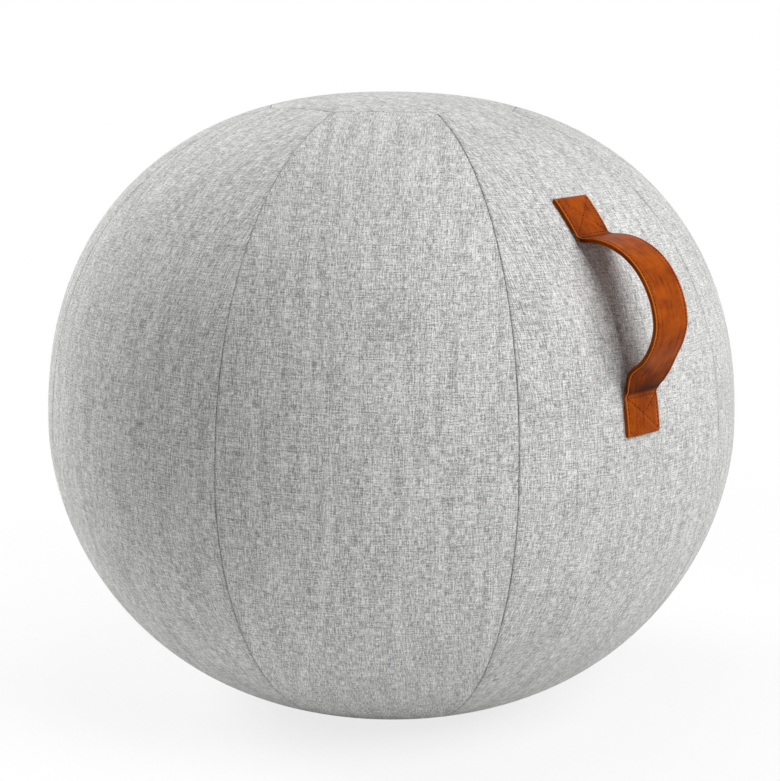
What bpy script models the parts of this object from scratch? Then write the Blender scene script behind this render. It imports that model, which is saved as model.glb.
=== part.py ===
"""Sitting ball: an air bladder in a sewn eight-panel cover with a leather carry handle and a zipped base.

Metres, +Z up. The ball stands on the plane z = 0 with the base centre at the origin, and the handle faces -Y.
Azimuths are measured about Z from -Y towards +X.
"""

import math
from collections import Counter

import bmesh
import bpy
import numpy as np
from mathutils import Matrix

for old in list(bpy.data.objects):
    bpy.data.objects.remove(old, do_unlink=True)

# Outer face of the cover: a turned curve, two quarter superellipses that meet where the ball is widest;
# the lower one would reach BASE_CUT under the floor, and is flattened there
COVER_RADIUS = 0.325
WIDEST_HEIGHT = 0.2676
CROWN_RISE = 0.3083
BASE_CUT = 0.0080
CROWN_POWER_OUT, CROWN_POWER_UP = 2.315, 2.261
BASE_POWER_OUT, BASE_POWER_DOWN = 2.405, 1.838
CURVE_SAMPLES = 1601

# Sewn panels
PANEL_COUNT = 8
PANEL_TURN = math.radians(1.3)
FABRIC = 0.0025
HEM = 0.010
HEM_STEP = 0.0006
SEAM_GAP = 0.0003
TOP_PANEL_RADIUS = 0.119
TOP_EDGE_BOW = 0.6
PANEL_COLUMNS, PANEL_ROWS = 6, 15
TOP_COLUMNS, TOP_ROWS = 32, 4
TURNED_STEPS = 48

# Zip between the side panels and the base, round the back half;
# ZIP_RISE is its distance up the cover from the rim of the flat
ZIP_RISE = 0.0408329
ZIP_HALF_ARC = math.radians(80)
ZIP_HALF_WIDTH = 0.0038
TAPE_SLIT, TAPE_REACH = 0.0016, 0.0105
TAPE_DEPTH, TAPE = 0.0029, 0.0005
BEAD_NEAR, BEAD_FAR = 0.0019, 0.0034
TOOTH_DEPTH, TOOTH_HEIGHT = 0.0006, 0.0019
TOOTH_PITCH, TOOTH_WIDTH, TOOTH_CROSSING = 0.0050, 0.0020, 0.0011
SLIDER_LENGTH, SLIDER_WIDTH = 0.0110, 0.0084
SLIDER_PLATE = 0.0011
SLIDER_LIFT = 0.0005
SLIDER_INNER_DEPTH = 0.0038
POST_WIDTH, POST_START, POST_END = 0.0022, 0.0015, 0.0045
BAIL_WIDTH, BAIL_WIRE = 0.0016, 0.0010
BAIL_GAP_LENGTH, BAIL_GAP_HEIGHT = 0.0044, 0.0020
PULL_LENGTH, PULL_WIDTH, PULL_TIP_WIDTH = 0.0150, 0.0068, 0.0048
PULL_THICKNESS, PULL_BAR, PULL_EYE_WIDTH, PULL_EYE_LENGTH = 0.0010, 0.0010, 0.0028, 0.0037
STOP_LENGTH = 0.0025
STOP_CLEAR = 0.0008

# Inside: stabilising ring in its pocket, air bladder and its valve
RING_INSET, RING_WIDTH, RING_HEIGHT = 0.0106, 0.022, 0.009
RING_ROUND = 0.0025
POCKET = 0.0010
BLADDER_DEPTH, BLADDER_WALL = 0.0068, 0.0015
BLADDER_STEPS, BLADDER_ROWS = 24, 13
VALVE_HOLE, VALVE_LIP, VALVE_FLANGE = 0.012, 0.0145, 0.018
VALVE_SHEET, VALVE_TUBE_RADIUS, VALVE_TUBE_LENGTH = 0.0012, 0.0075, 0.014
PLUG_RADIUS, PLUG_HEAD, PLUG_RIB, VALVE_BORE = 0.0040, 0.0085, 0.0003, 0.0047

# Leather handle over the middle of one panel, sewn on a little askew; the arch is fuller above than below,
# and its knots are shares of half the span and of the rise
STRAP_WIDTH, LEATHER = 0.038, 0.0018
HANDLE_AZIMUTH, HANDLE_TURN = math.radians(-0.55), math.radians(3.06)
UPPER_FOLD_HEIGHT, LOWER_FOLD_HEIGHT = 0.4641, 0.3396
UPPER_TAB_LENGTH, LOWER_TAB_LENGTH = 0.0397, 0.0334
ARCH_RISE = 0.0592
ARCH_KNOTS = [
    (-0.904, 0.299), (-0.740, 0.598), (-0.545, 0.804), (-0.300, 0.943), (-0.030, 1.000),
    (0.196, 0.983), (0.365, 0.924), (0.520, 0.799), (0.696, 0.554), (0.925, 0.140),
]
FOLD_LENGTH = 0.005
ARCH_POINTS, STRAP_COLUMNS = 23, 4
PATCH_WIDTH, PATCH_MARGIN, PATCH = 0.048, 0.005, 0.0010
PATCH_DEPTH = 0.0047

GAP = 0.0003


def cover_curve():
    """Half section of the cover's outer face, crown to floor: radius, height, arc length, normal."""
    turn = np.linspace(math.pi / 2, -math.pi / 2, CURVE_SAMPLES)
    out, up = np.cos(turn).clip(0), np.abs(np.sin(turn))
    above = turn >= 0
    radius = COVER_RADIUS * np.where(above, out ** (2 / CROWN_POWER_OUT), out ** (2 / BASE_POWER_OUT))
    rise = CROWN_RISE * up ** (2 / CROWN_POWER_UP)
    drop = -(WIDEST_HEIGHT + BASE_CUT) * up ** (2 / BASE_POWER_DOWN)
    height = WIDEST_HEIGHT + np.where(above, rise, drop)
    radius, height = radius[height > 0], height[height > 0]
    arc = np.concatenate([[0], np.hypot(np.diff(radius), np.diff(height)).cumsum()])
    slope_r, slope_z = np.gradient(radius, arc), np.gradient(height, arc)
    slope_r[0], slope_z[0] = 1, 0
    length = np.hypot(slope_r, slope_z)
    return radius, height, arc, -slope_z / length, slope_r / length


CURVE_R, CURVE_Z, CURVE_S, CURVE_NR, CURVE_NZ = cover_curve()
WIDEST = int(CURVE_R.argmax())


def section_at(arc, depth):
    """Radius and height of the point this deep under the outer face at an arc length from the crown."""
    radius, height, out, up = (np.interp(arc, CURVE_S, v) for v in (CURVE_R, CURVE_Z, CURVE_NR, CURVE_NZ))
    return radius - depth * out, height - depth * up


def upper_arc(radius):
    return np.interp(radius, CURVE_R[: WIDEST + 1], CURVE_S[: WIDEST + 1])


def arc_at_height(height):
    return float(np.interp(height, CURVE_Z[::-1], CURVE_S[::-1]))


def about_axis(radius, height, azimuth):
    """Points in space of radius and height turned to an azimuth."""
    radius, height, azimuth = np.broadcast_arrays(radius, height, azimuth)
    return np.stack([radius * np.sin(azimuth), -radius * np.cos(azimuth), height], axis=-1)


def cover_point(arc, azimuth, depth):
    arc, azimuth, depth = np.broadcast_arrays(arc, azimuth, depth)
    return about_axis(*section_at(arc, depth), azimuth)


def finish(name, colour, roughness, metallic=0.0):
    material = bpy.data.materials.new(name)
    material.use_nodes = True
    shader = material.node_tree.nodes["Principled BSDF"]
    shader.inputs["Base Color"].default_value = (*colour, 1)
    shader.inputs["Roughness"].default_value = roughness
    shader.inputs["Metallic"].default_value = metallic
    return material


def placed(name, mesh, look, parent=None, matrix=None):
    """A named object with its own copy of a finish, shaded smooth except across sharp edges."""
    obj = bpy.data.objects.new(name, mesh)
    mesh.materials.append(finish(name, *look))
    mesh.shade_smooth()
    mesh.set_sharp_from_angle(angle=math.radians(35))
    bpy.context.scene.collection.objects.link(obj)
    obj.parent = parent
    if matrix is not None:
        obj.matrix_basis = matrix
    return obj


def mesh_from(name, points, faces):
    """A mesh whose faces all point out."""
    mesh = bpy.data.meshes.new(name)
    mesh.from_pydata([tuple(p) for p in points], [], faces)
    shape = bmesh.new()
    shape.from_mesh(mesh)
    bmesh.ops.recalc_face_normals(shape, faces=shape.faces)
    shape.to_mesh(mesh)
    shape.free()
    return mesh


def thick_sheet(outer, inner, faces):
    """Points and faces of a sheet between two copies of one face layout, walled along its free edges."""
    count = len(outer)
    edges = Counter(
        tuple(sorted(pair)) for face in faces for pair in zip(face, face[1:] + face[:1])
    )
    walls = [(a, b, b + count, a + count) for (a, b), uses in edges.items() if uses == 1]
    back = [tuple(i + count for i in reversed(face)) for face in faces]
    return np.concatenate([outer, inner]), list(faces) + back + walls


def grid_faces(rows, columns, closed=False):
    steps = columns if closed else columns - 1
    corners = [(0, 0), (1, 0), (1, 1), (0, 1)]
    return [
        tuple((i + down) * columns + (j + right) % columns for down, right in corners)
        for i in range(rows - 1)
        for j in range(steps)
    ]


def sheet_object(name, arc, azimuth, depth, thickness, look):
    """A patch of sheet material that follows the cover, from grids of arc length and azimuth."""
    arc, azimuth, thickness = np.broadcast_arrays(arc, azimuth, thickness)
    outer = cover_point(arc, azimuth, depth).reshape(-1, 3)
    inner = cover_point(arc, azimuth, depth + thickness).reshape(-1, 3)
    return placed(name, mesh_from(name, *thick_sheet(outer, inner, grid_faces(*arc.shape))), look)


def lofted(loops):
    """Points and faces of a closed body through loops of equal length, capped at both ends."""
    loops = np.asarray(loops)
    count = loops.shape[1]
    last = (len(loops) - 1) * count
    caps = [tuple(range(count)), tuple(range(last, last + count))]
    return loops.reshape(-1, 3), grid_faces(len(loops), count, closed=True) + caps


def block(x, y, z):
    """A box between three pairs of limits, as two lofted loops."""
    corners = [(x[0], y[0]), (x[1], y[0]), (x[1], y[1]), (x[0], y[1])]
    return lofted([[(*corner, level) for corner in corners] for level in z])


def turned(name, profile, steps, look):
    """A body turned about Z from a profile of (radius, height) that runs down its outer side."""
    mesh = bpy.data.meshes.new(name)
    points = [(r, 0, z) for r, z in profile]
    on_axis = profile[0][0] == 0
    edges = [(i, i + 1) for i in range(len(points) - 1)]
    mesh.from_pydata(points, edges if on_axis else [*edges, (len(points) - 1, 0)], [])
    obj = placed(name, mesh, look)
    screw = obj.modifiers.new("Turn", "SCREW")
    screw.steps = screw.render_steps = steps
    screw.use_merge_vertices = True
    screw.merge_threshold = 0.00001
    return obj


def fused(name, bodies, look, parent, matrix):
    """One object joined from overlapping bodies with a union for each."""
    obj = placed(name, mesh_from(name, *bodies[0]), look, parent, matrix)
    for number, body in enumerate(bodies[1:], 1):
        helper = placed(f"{name}_shape_{number}", mesh_from(name, *body), look, parent, matrix)
        helper.hide_render = True
        helper.display_type = "WIRE"
        join = obj.modifiers.new(f"Join {number}", "BOOLEAN")
        join.operation = "UNION"
        join.object = helper
    return obj


CLOTH = ((0.60, 0.60, 0.59), 0.9)
BASE_CLOTH = ((0.10, 0.10, 0.11), 0.85)
TANNED = ((0.36, 0.14, 0.045), 0.45)
WEBBING = ((0.32, 0.31, 0.30), 0.85)
VINYL = ((0.28, 0.30, 0.33), 0.5)
FOAM = ((0.05, 0.05, 0.05), 0.9)
NYLON = ((0.30, 0.30, 0.30), 0.5)
METAL = ((0.55, 0.55, 0.56), 0.3, 1.0)

half_panel = math.pi / PANEL_COUNT
zip_line = float(CURVE_S[-1]) - ZIP_RISE
zip_radius = float(np.interp(zip_line, CURVE_S, CURVE_R))


def top_edge_radius(local):
    """The top panel's edge: a polygon whose sides bow out a little between the panel seams."""
    return TOP_PANEL_RADIUS * (math.cos(half_panel) / np.cos(local)) ** TOP_EDGE_BOW


def side_panel(number):
    """One tapered panel from the top panel to the zip line, doubled inside by its side and top hems."""
    bottom = zip_line - ZIP_HALF_WIDTH
    hem_end = bottom - TAPE_REACH - HEM_STEP
    top = float(upper_arc(top_edge_radius(0)))
    middle = np.linspace(top + HEM + HEM_STEP, hem_end - HEM_STEP, PANEL_ROWS)
    rows = np.concatenate([[top, top + HEM], middle, [hem_end, bottom]])
    radius = section_at(rows, 0)[0][:, None]
    edge = half_panel - SEAM_GAP / 2 / radius
    fold = edge - HEM / radius
    lip = fold - HEM_STEP / radius
    across = lip * np.linspace(-1, 1, PANEL_COLUMNS + 1)
    local = np.concatenate([-edge, -fold, across, fold, edge], axis=1)
    above = upper_arc(top_edge_radius(local) + SEAM_GAP / 2) - top
    fade = ((rows[-3] - rows) / (rows[-3] - rows[0])).clip(0, 1)[:, None]
    thickness = np.full(local.shape, FABRIC)
    thickness[:-2, [0, 1, -2, -1]] = 2 * FABRIC
    thickness[:2] = 2 * FABRIC
    azimuth = local + PANEL_TURN + 2 * half_panel * (number - 1)
    sheet_object(f"side_panel_{number}", rows[:, None] + above * fade, azimuth, 0.0, thickness, CLOTH)


def top_panel():
    """The many-sided panel on the crown, with its hem doubled inside the edge."""
    azimuth = np.linspace(0, 2 * math.pi, TOP_COLUMNS, endpoint=False)
    local = (azimuth + half_panel) % (2 * half_panel) - half_panel
    edge = upper_arc(top_edge_radius(local) - SEAM_GAP / 2)
    share = np.linspace(0, 1, TOP_ROWS + 1)[1:, None]
    rings = np.concatenate([share * (edge - HEM - HEM_STEP), [edge - HEM, edge]])
    depth = np.full(rings.shape, FABRIC)
    depth[-2:] = 2 * FABRIC
    turn = azimuth + PANEL_TURN
    outer, inner = cover_point(rings, turn, 0.0), cover_point(rings, turn, depth)
    pole = about_axis(*section_at(0.0, 0.0), 0.0)[None]
    inner_pole = about_axis(*section_at(0.0, FABRIC), 0.0)[None]
    fan = [(0, j + 1, (j + 1) % TOP_COLUMNS + 1) for j in range(TOP_COLUMNS)]
    bands = [tuple(i + 1 for i in face) for face in grid_faces(len(rings), TOP_COLUMNS, closed=True)]
    outer = np.concatenate([pole, outer.reshape(-1, 3)])
    inner = np.concatenate([inner_pole, inner.reshape(-1, 3)])
    points, faces = thick_sheet(outer, inner, fan + bands)
    placed("top_panel", mesh_from("top_panel", points, faces), CLOTH)


def base_panel():
    """The round base: flat where it stands, curving up to the zip line at its rim."""
    rim = np.linspace(CURVE_S[-1], zip_line + ZIP_HALF_WIDTH, 4)
    under = list(zip(*section_at(rim, 0.0)))
    over = list(zip(*section_at(rim, FABRIC)))
    turned("base_panel", [(0, FABRIC), *over, *under[::-1], (0, 0)], TURNED_STEPS, BASE_CLOTH)


def along_zip(name, near, far, depth, thickness, start, end, look):
    """A strip beside the zip line between two distances from it, over an arc of azimuth."""
    steps = max(2, math.ceil((end - start) / math.radians(4)))
    azimuth = np.linspace(start, end, steps + 1)[None]
    return sheet_object(name, zip_line + np.array([[near], [far]]), azimuth, depth, thickness, look)


zip_first, zip_last = math.pi - ZIP_HALF_ARC, math.pi + ZIP_HALF_ARC
along = 1 / zip_radius
slider_azimuth = zip_last - (STOP_LENGTH + 2 * STOP_CLEAR + SLIDER_LENGTH / 2) * along
teeth_first = zip_first + (STOP_LENGTH + 2 * STOP_CLEAR) * along
teeth_last = slider_azimuth + (POST_START - STOP_CLEAR) * along


def tooth_row(name, side, offset):
    """A row of teeth on a bead; its teeth reach over the zip line between those of the row opposite."""
    pitch = TOOTH_PITCH * along
    starts = np.arange(teeth_first + pitch * offset, teeth_last - TOOTH_WIDTH * along, pitch)
    cuts = np.sort(np.concatenate([starts, starts + TOOTH_WIDTH * along]))
    lines = zip_line + side * np.array([[BEAD_FAR], [BEAD_NEAR], [-TOOTH_CROSSING]])
    columns = len(cuts)
    bead = grid_faces(2, columns)
    teeth = [tuple(i + columns for i in face) for face in bead[::2]]
    arc, azimuth = np.broadcast_arrays(lines, cuts[None])
    used = sorted({i for face in bead + teeth for i in face})
    place = {i: n for n, i in enumerate(used)}
    faces = [tuple(place[i] for i in face) for face in bead + teeth]
    outer = cover_point(arc, azimuth, TOOTH_DEPTH).reshape(-1, 3)[used]
    inner = cover_point(arc, azimuth, TOOTH_DEPTH + TOOTH_HEIGHT).reshape(-1, 3)[used]
    placed(name, mesh_from(name, *thick_sheet(outer, inner, faces)), NYLON)


def zip_pieces():
    """Two tapes, two rows of teeth, their stops, and the sewn strip that closes the ring at the front."""
    margin = STOP_CLEAR * along
    for name, side in (("outer", -1), ("inner", 1)):
        ends = zip_first + margin, zip_last - margin
        along_zip(f"zip_tape_{name}", side * TAPE_SLIT, side * TAPE_REACH, TAPE_DEPTH, TAPE, *ends, NYLON)
        tooth_row(f"zip_teeth_{name}", side, 0.0 if side > 0 else 0.5)
        stop = zip_last - (STOP_LENGTH + STOP_CLEAR) * along, zip_last - margin
        along_zip(
            f"zip_top_stop_{name}", side * BEAD_NEAR, side * BEAD_FAR, TOOTH_DEPTH, TOOTH_HEIGHT, *stop, METAL
        )
    stop = zip_first + margin, zip_first + (STOP_LENGTH + STOP_CLEAR) * along
    along_zip("zip_bottom_stop", -BEAD_FAR, BEAD_FAR, TOOTH_DEPTH, TOOTH_HEIGHT, *stop, METAL)
    strip = ZIP_HALF_WIDTH - 2 * GAP
    front = zip_last + margin, zip_first + 2 * math.pi - margin
    along_zip("base_seam_strip", -strip, strip, 0.0, FABRIC, *front, CLOTH)


def slider_frame():
    """Place on the zip line at the closed end: X down the slope, Y along the zip, Z straight out."""
    origin = cover_point(zip_line, slider_azimuth, 0.0)
    out = origin - cover_point(zip_line, slider_azimuth, 1.0)
    travel = np.array([math.cos(slider_azimuth), math.sin(slider_azimuth), 0.0])
    matrix = Matrix.Identity(4)
    for column, axis in enumerate((np.cross(travel, out), travel, out, origin)):
        matrix.col[column][:3] = axis
    return matrix


def slider_and_pull():
    """Zip slider of two plates on a post, with a bail over the plate that holds the swinging pull."""
    track = bpy.data.objects.new("zip_track", None)
    pivot = bpy.data.objects.new("zip_pull_pivot", None)
    for empty in (track, pivot):
        bpy.context.scene.collection.objects.link(empty)
    frame = slider_frame()
    half, end = SLIDER_WIDTH / 2, SLIDER_LENGTH / 2
    plate_top = SLIDER_LIFT + SLIDER_PLATE
    outline = [(-0.6, -1), (0.6, -1), (1, -0.1), (1, 0.6), (0.7, 1), (-0.7, 1), (-1, 0.6), (-1, -0.1)]
    plates = [
        lofted([[(x * half, y * end, level) for x, y in outline] for level in levels])
        for levels in ((SLIDER_LIFT, plate_top), (-SLIDER_INNER_DEPTH - SLIDER_PLATE, -SLIDER_INNER_DEPTH))
    ]
    inside = SLIDER_PLATE / 3
    post_x, post_y = (-POST_WIDTH / 2, POST_WIDTH / 2), (POST_START, POST_END)
    post = block(post_x, post_y, (-SLIDER_INNER_DEPTH - inside, SLIDER_LIFT + inside))
    reach, wire = BAIL_GAP_LENGTH / 2, BAIL_WIRE
    bail_foot, bail_under = plate_top - inside, plate_top + BAIL_GAP_HEIGHT
    bail_line = [
        (-reach - wire, bail_foot), (-reach, bail_foot), (-reach, bail_under), (reach, bail_under),
        (reach, bail_foot), (reach + wire, bail_foot), (reach + wire, bail_under + wire / 2),
        (reach, bail_under + wire), (-reach, bail_under + wire), (-reach - wire, bail_under + wire / 2),
    ]
    bail = lofted([[(x, y, z) for y, z in bail_line] for x in (-BAIL_WIDTH / 2, BAIL_WIDTH / 2)])
    fused("zip_slider", [plates[0], post, plates[1], bail], METAL, track, frame)

    pivot.parent = track
    pivot.matrix_basis = frame @ Matrix.Translation((0, 0, plate_top + BAIL_GAP_HEIGHT / 2))
    eye, bar = PULL_EYE_WIDTH / 2, PULL_BAR / 2
    flat = (-PULL_THICKNESS / 2, PULL_THICKNESS / 2)
    eye_end = bar + PULL_EYE_LENGTH
    rail = eye + PULL_BAR
    tab_line = [
        (-rail, eye_end), (rail, eye_end), (PULL_WIDTH / 2, eye_end + PULL_WIDTH / 2),
        (PULL_TIP_WIDTH / 2, PULL_LENGTH), (-PULL_TIP_WIDTH / 2, PULL_LENGTH),
        (-PULL_WIDTH / 2, eye_end + PULL_WIDTH / 2),
    ]
    tab = lofted([[(x, y, z) for x, y in tab_line] for z in flat])
    rails = [block(x, (-bar, eye_end + bar), flat) for x in ((-rail, -eye), (eye, rail))]
    cross = block((-rail + bar, rail - bar), (-bar, bar), (-bar * 0.9, bar * 0.9))
    fused("zip_pull", [tab, *rails, cross], METAL, pivot, Matrix.Identity(4))


def stabilising_ring():
    """The foam ring that steadies the base, and the pocket sewn over it on the base panel."""
    middle = float(CURVE_R[-1]) - RING_INSET
    inner, outer = middle - RING_WIDTH / 2, middle + RING_WIDTH / 2
    floor, top = FABRIC + GAP, FABRIC + GAP + RING_HEIGHT
    cut = RING_ROUND
    ring = [
        (outer - cut, top), (outer, top - cut), (outer, floor + cut), (outer - cut, floor),
        (inner + cut, floor), (inner, floor + cut), (inner, top - cut), (inner + cut, top),
    ]
    turned("base_ring", ring, TURNED_STEPS, FOAM)
    sag = 4 * GAP
    near, far, roof = inner - sag, outer + sag, top + GAP
    pocket = [
        (far + POCKET, roof + POCKET), (far + POCKET, floor + sag), (far, floor + sag), (far, roof),
        (near, roof), (near, floor), (near - POCKET, floor), (near - POCKET, roof + POCKET),
    ]
    turned("ring_pocket", pocket, TURNED_STEPS, BASE_CLOTH)
    return roof + POCKET


def bladder_and_valve(rest):
    """The air bladder, flat where it lies on the ring pocket, with the valve seat and plug in the middle."""
    base = rest + GAP
    arcs = np.linspace(0, CURVE_S[-1], 20 * BLADDER_ROWS)
    low = section_at(arcs, BLADDER_DEPTH)[1] > base
    arcs = np.linspace(0, arcs[low][-1], BLADDER_ROWS + 1)
    outer = np.stack(section_at(arcs, BLADDER_DEPTH), axis=-1)
    inner = np.stack(section_at(arcs, BLADDER_DEPTH + BLADDER_WALL), axis=-1)
    outer[0, 0] = inner[0, 0] = 0.0
    outer[-1, 1], inner[-1, 1] = base, base + BLADDER_WALL
    hole = [(VALVE_HOLE, base), (VALVE_HOLE, base + BLADDER_WALL)]
    turned("bladder", [*map(tuple, outer), *hole, *map(tuple, inner[::-1])], BLADDER_STEPS, VINYL)

    neck, over = VALVE_HOLE - GAP, base + BLADDER_WALL + GAP
    lip_top, tube_top = base - GAP, over + VALVE_SHEET + VALVE_TUBE_LENGTH
    seat = [
        (VALVE_TUBE_RADIUS, tube_top), (VALVE_TUBE_RADIUS, over + VALVE_SHEET),
        (VALVE_FLANGE, over + VALVE_SHEET), (VALVE_FLANGE, over),
        (neck, over), (neck, lip_top), (VALVE_LIP, lip_top),
        (VALVE_LIP, lip_top - VALVE_SHEET), (VALVE_BORE, lip_top - VALVE_SHEET), (VALVE_BORE, tube_top),
    ]
    turned("valve_seat", seat, BLADDER_STEPS, VINYL)
    head_top = lip_top - VALVE_SHEET - GAP
    rib_low, rib_high = base + BLADDER_WALL, over + VALVE_SHEET + VALVE_TUBE_LENGTH / 2
    rib = PLUG_RADIUS + PLUG_RIB
    ribs = [
        (r, z)
        for level in (rib_high, rib_low)
        for r, z in ((PLUG_RADIUS, level + 2 * VALVE_SHEET), (rib, level + VALVE_SHEET), (PLUG_RADIUS, level))
    ]
    plug = [
        (0, tube_top), (PLUG_RADIUS, tube_top), *ribs, (PLUG_RADIUS, head_top), (PLUG_HEAD, head_top),
        (PLUG_HEAD, head_top - VALVE_SHEET), (0, head_top - VALVE_SHEET),
    ]
    turned("valve_plug", plug, BLADDER_STEPS // 2, NYLON)


def section_points(arcs, depth):
    return np.stack(section_at(np.asarray(arcs, float), depth), axis=-1)


def bend(before, corner, after, count):
    """Points of a soft corner between two lines that meet."""
    share = np.linspace(0, 1, count)[:, None]
    return (1 - share) ** 2 * before + 2 * share * (1 - share) * corner + share**2 * after


def smooth_through(knots, count):
    """Points of a smooth line through knots: cubic pieces whose slopes follow the neighbouring knots."""
    lengths = np.concatenate([[0], np.linalg.norm(np.diff(knots, axis=0), axis=1).cumsum()])
    slopes = np.gradient(knots, lengths, axis=0)
    places = np.linspace(0, lengths[-1], count)
    index = np.searchsorted(lengths, places, side="right").clip(1, len(lengths) - 1) - 1
    span = np.diff(lengths)[index][:, None]
    t = (places - lengths[index])[:, None] / span
    ends = (1 + 2 * t) * (1 - t) ** 2 * knots[index] + t**2 * (3 - 2 * t) * knots[index + 1]
    return ends + span * t * (1 - t) * ((1 - t) * slopes[index] - t * slopes[index + 1])


upper_fold, lower_fold = arc_at_height(UPPER_FOLD_HEIGHT), arc_at_height(LOWER_FOLD_HEIGHT)
handle_middle = (upper_fold + lower_fold) / 2


def askew(points):
    """Turns points of the plane of azimuth 0 about the normal at the handle's middle, then about Z."""
    pivot = cover_point(handle_middle, 0.0, 0.0)
    normal = pivot - cover_point(handle_middle, 0.0, 1.0)
    turn = np.array(Matrix.Rotation(HANDLE_TURN, 3, normal))
    return ((points - pivot) @ turn.T + pivot) @ np.array(Matrix.Rotation(HANDLE_AZIMUTH, 3, "Z")).T


def ribbon(name, path, hug, look):
    """A strap along a middle line in the plane of the handle; where it hugs, it bends round the ball."""
    slope = np.gradient(path, axis=0)
    side = np.stack([-slope[:, 1], slope[:, 0]], axis=-1)
    side *= LEATHER / 2 / np.linalg.norm(side, axis=1)[:, None]
    across = np.linspace(-STRAP_WIDTH / 2, STRAP_WIDTH / 2, STRAP_COLUMNS + 1)[None]
    skins = []
    for line in (path + side, path - side):
        radius, height = line[:, :1], line[:, 1:]
        drawn_in = hug[:, None] * (radius - np.sqrt(radius**2 - across**2))
        points = np.stack(np.broadcast_arrays(across, drawn_in - radius, height), axis=-1)
        skins.append(askew(points.reshape(-1, 3)))
    faces = grid_faces(len(path), STRAP_COLUMNS + 1)
    placed(name, mesh_from(name, *thick_sheet(*skins, faces)), look)


def folded_end(fold, reach):
    """Middle line of a sewn tab, from its tucked-under end round the turn at its tip and back to the fold."""
    under, over = -(GAP + LEATHER / 2), -(2 * GAP + LEATHER * 1.5)
    lengths = np.linspace(fold + math.copysign(2 * FOLD_LENGTH, reach), fold + reach, 5)
    below, above = section_points(lengths, under), section_points(lengths, over)[::-1]
    centre, spoke = (below[-1] + above[0]) / 2, (above[0] - below[-1]) / 2
    ahead = below[-1] - below[-2]
    ahead *= np.linalg.norm(spoke) / np.linalg.norm(ahead)
    turns = np.radians([-54, -18, 18, 54])[:, None]
    return np.concatenate([below, centre + spoke * np.sin(turns) + ahead * np.cos(turns), above])


def clearance(points):
    """Distance of points of the section from the cover's outer face."""
    return np.linalg.norm(points[:, None] - np.stack([CURVE_R, CURVE_Z], axis=-1), axis=-1).min(axis=1)


def handle():
    """Strap sewn down by a folded tab at each end, arched and lined between them, with patches behind."""
    over = -(2 * GAP + LEATHER * 1.5)
    feet = section_points([upper_fold, lower_fold], over)
    chord = (feet[1] - feet[0]) / 2
    rise = np.array([-chord[1], chord[0]]) * ARCH_RISE / np.linalg.norm(chord)
    knots = feet.mean(axis=0) + np.array(ARCH_KNOTS) @ np.stack([chord, rise])
    arch = smooth_through(knots, ARCH_POINTS)
    tabs = folded_end(upper_fold, -UPPER_TAB_LENGTH), folded_end(lower_fold, LOWER_TAB_LENGTH)[::-1]
    near = section_points([upper_fold - FOLD_LENGTH, lower_fold + FOLD_LENGTH], over)
    folds = bend(near[0], feet[0], arch[0], 6), bend(arch[-1], feet[1], near[1], 6)
    span = np.concatenate([folds[0], arch[1:-1], folds[1]])
    let_go = np.linspace(1, 0, 6)
    flat = np.zeros(len(arch) - 2)
    hug = np.concatenate([np.ones(len(tabs[0])), let_go, flat, let_go[::-1], np.ones(len(tabs[1]))])
    ribbon("handle_strap", np.concatenate([tabs[0], span, tabs[1]]), hug, TANNED)
    slope = np.gradient(span, axis=0)
    inward = np.stack([slope[:, 1], -slope[:, 0]], axis=-1)
    lining = span + inward * (LEATHER + GAP) / np.linalg.norm(inward, axis=1)[:, None]
    lining = lining[clearance(lining) > LEATHER + GAP]
    ribbon("handle_lining", lining, np.zeros(len(lining)), TANNED)
    sewn = ("upper", upper_fold, -UPPER_TAB_LENGTH), ("lower", lower_fold, LOWER_TAB_LENGTH)
    for name, fold, reach in sewn:
        margin = math.copysign(PATCH_MARGIN, reach)
        along = np.linspace(fold - margin, fold + reach + margin, 4)[:, None] - handle_middle
        across = PATCH_WIDTH / 2 * np.linspace(-1, 1, 4)[None]
        arcs = handle_middle + along * math.cos(HANDLE_TURN) - across * math.sin(HANDLE_TURN)
        sideways = along * math.sin(HANDLE_TURN) + across * math.cos(HANDLE_TURN)
        azimuth = HANDLE_AZIMUTH + sideways / section_at(arcs, 0.0)[0]
        sheet_object(f"{name}_backing_patch", arcs, azimuth, PATCH_DEPTH, PATCH, WEBBING)


for panel in range(1, PANEL_COUNT + 1):
    side_panel(panel)
top_panel()
base_panel()
zip_pieces()
slider_and_pull()
bladder_and_valve(stabilising_ring())
handle()
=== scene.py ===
# %% [markdown]
# # A sitting ball in a sewn cover
#
# The ball is an air bladder inside a cover of grey melange cloth. Eight tapered panels run from a
# many-sided panel on the crown down to the base, a leather strap arches over the middle of one panel, and
# a zip lets the bladder in underneath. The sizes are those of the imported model, so this lesson only
# dresses it: each soft solid gets a finer surface in the same place, and every piece gets a finish of its
# own.

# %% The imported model
import math
import bpy
import numpy as np
from mathutils import Matrix, Vector


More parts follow.
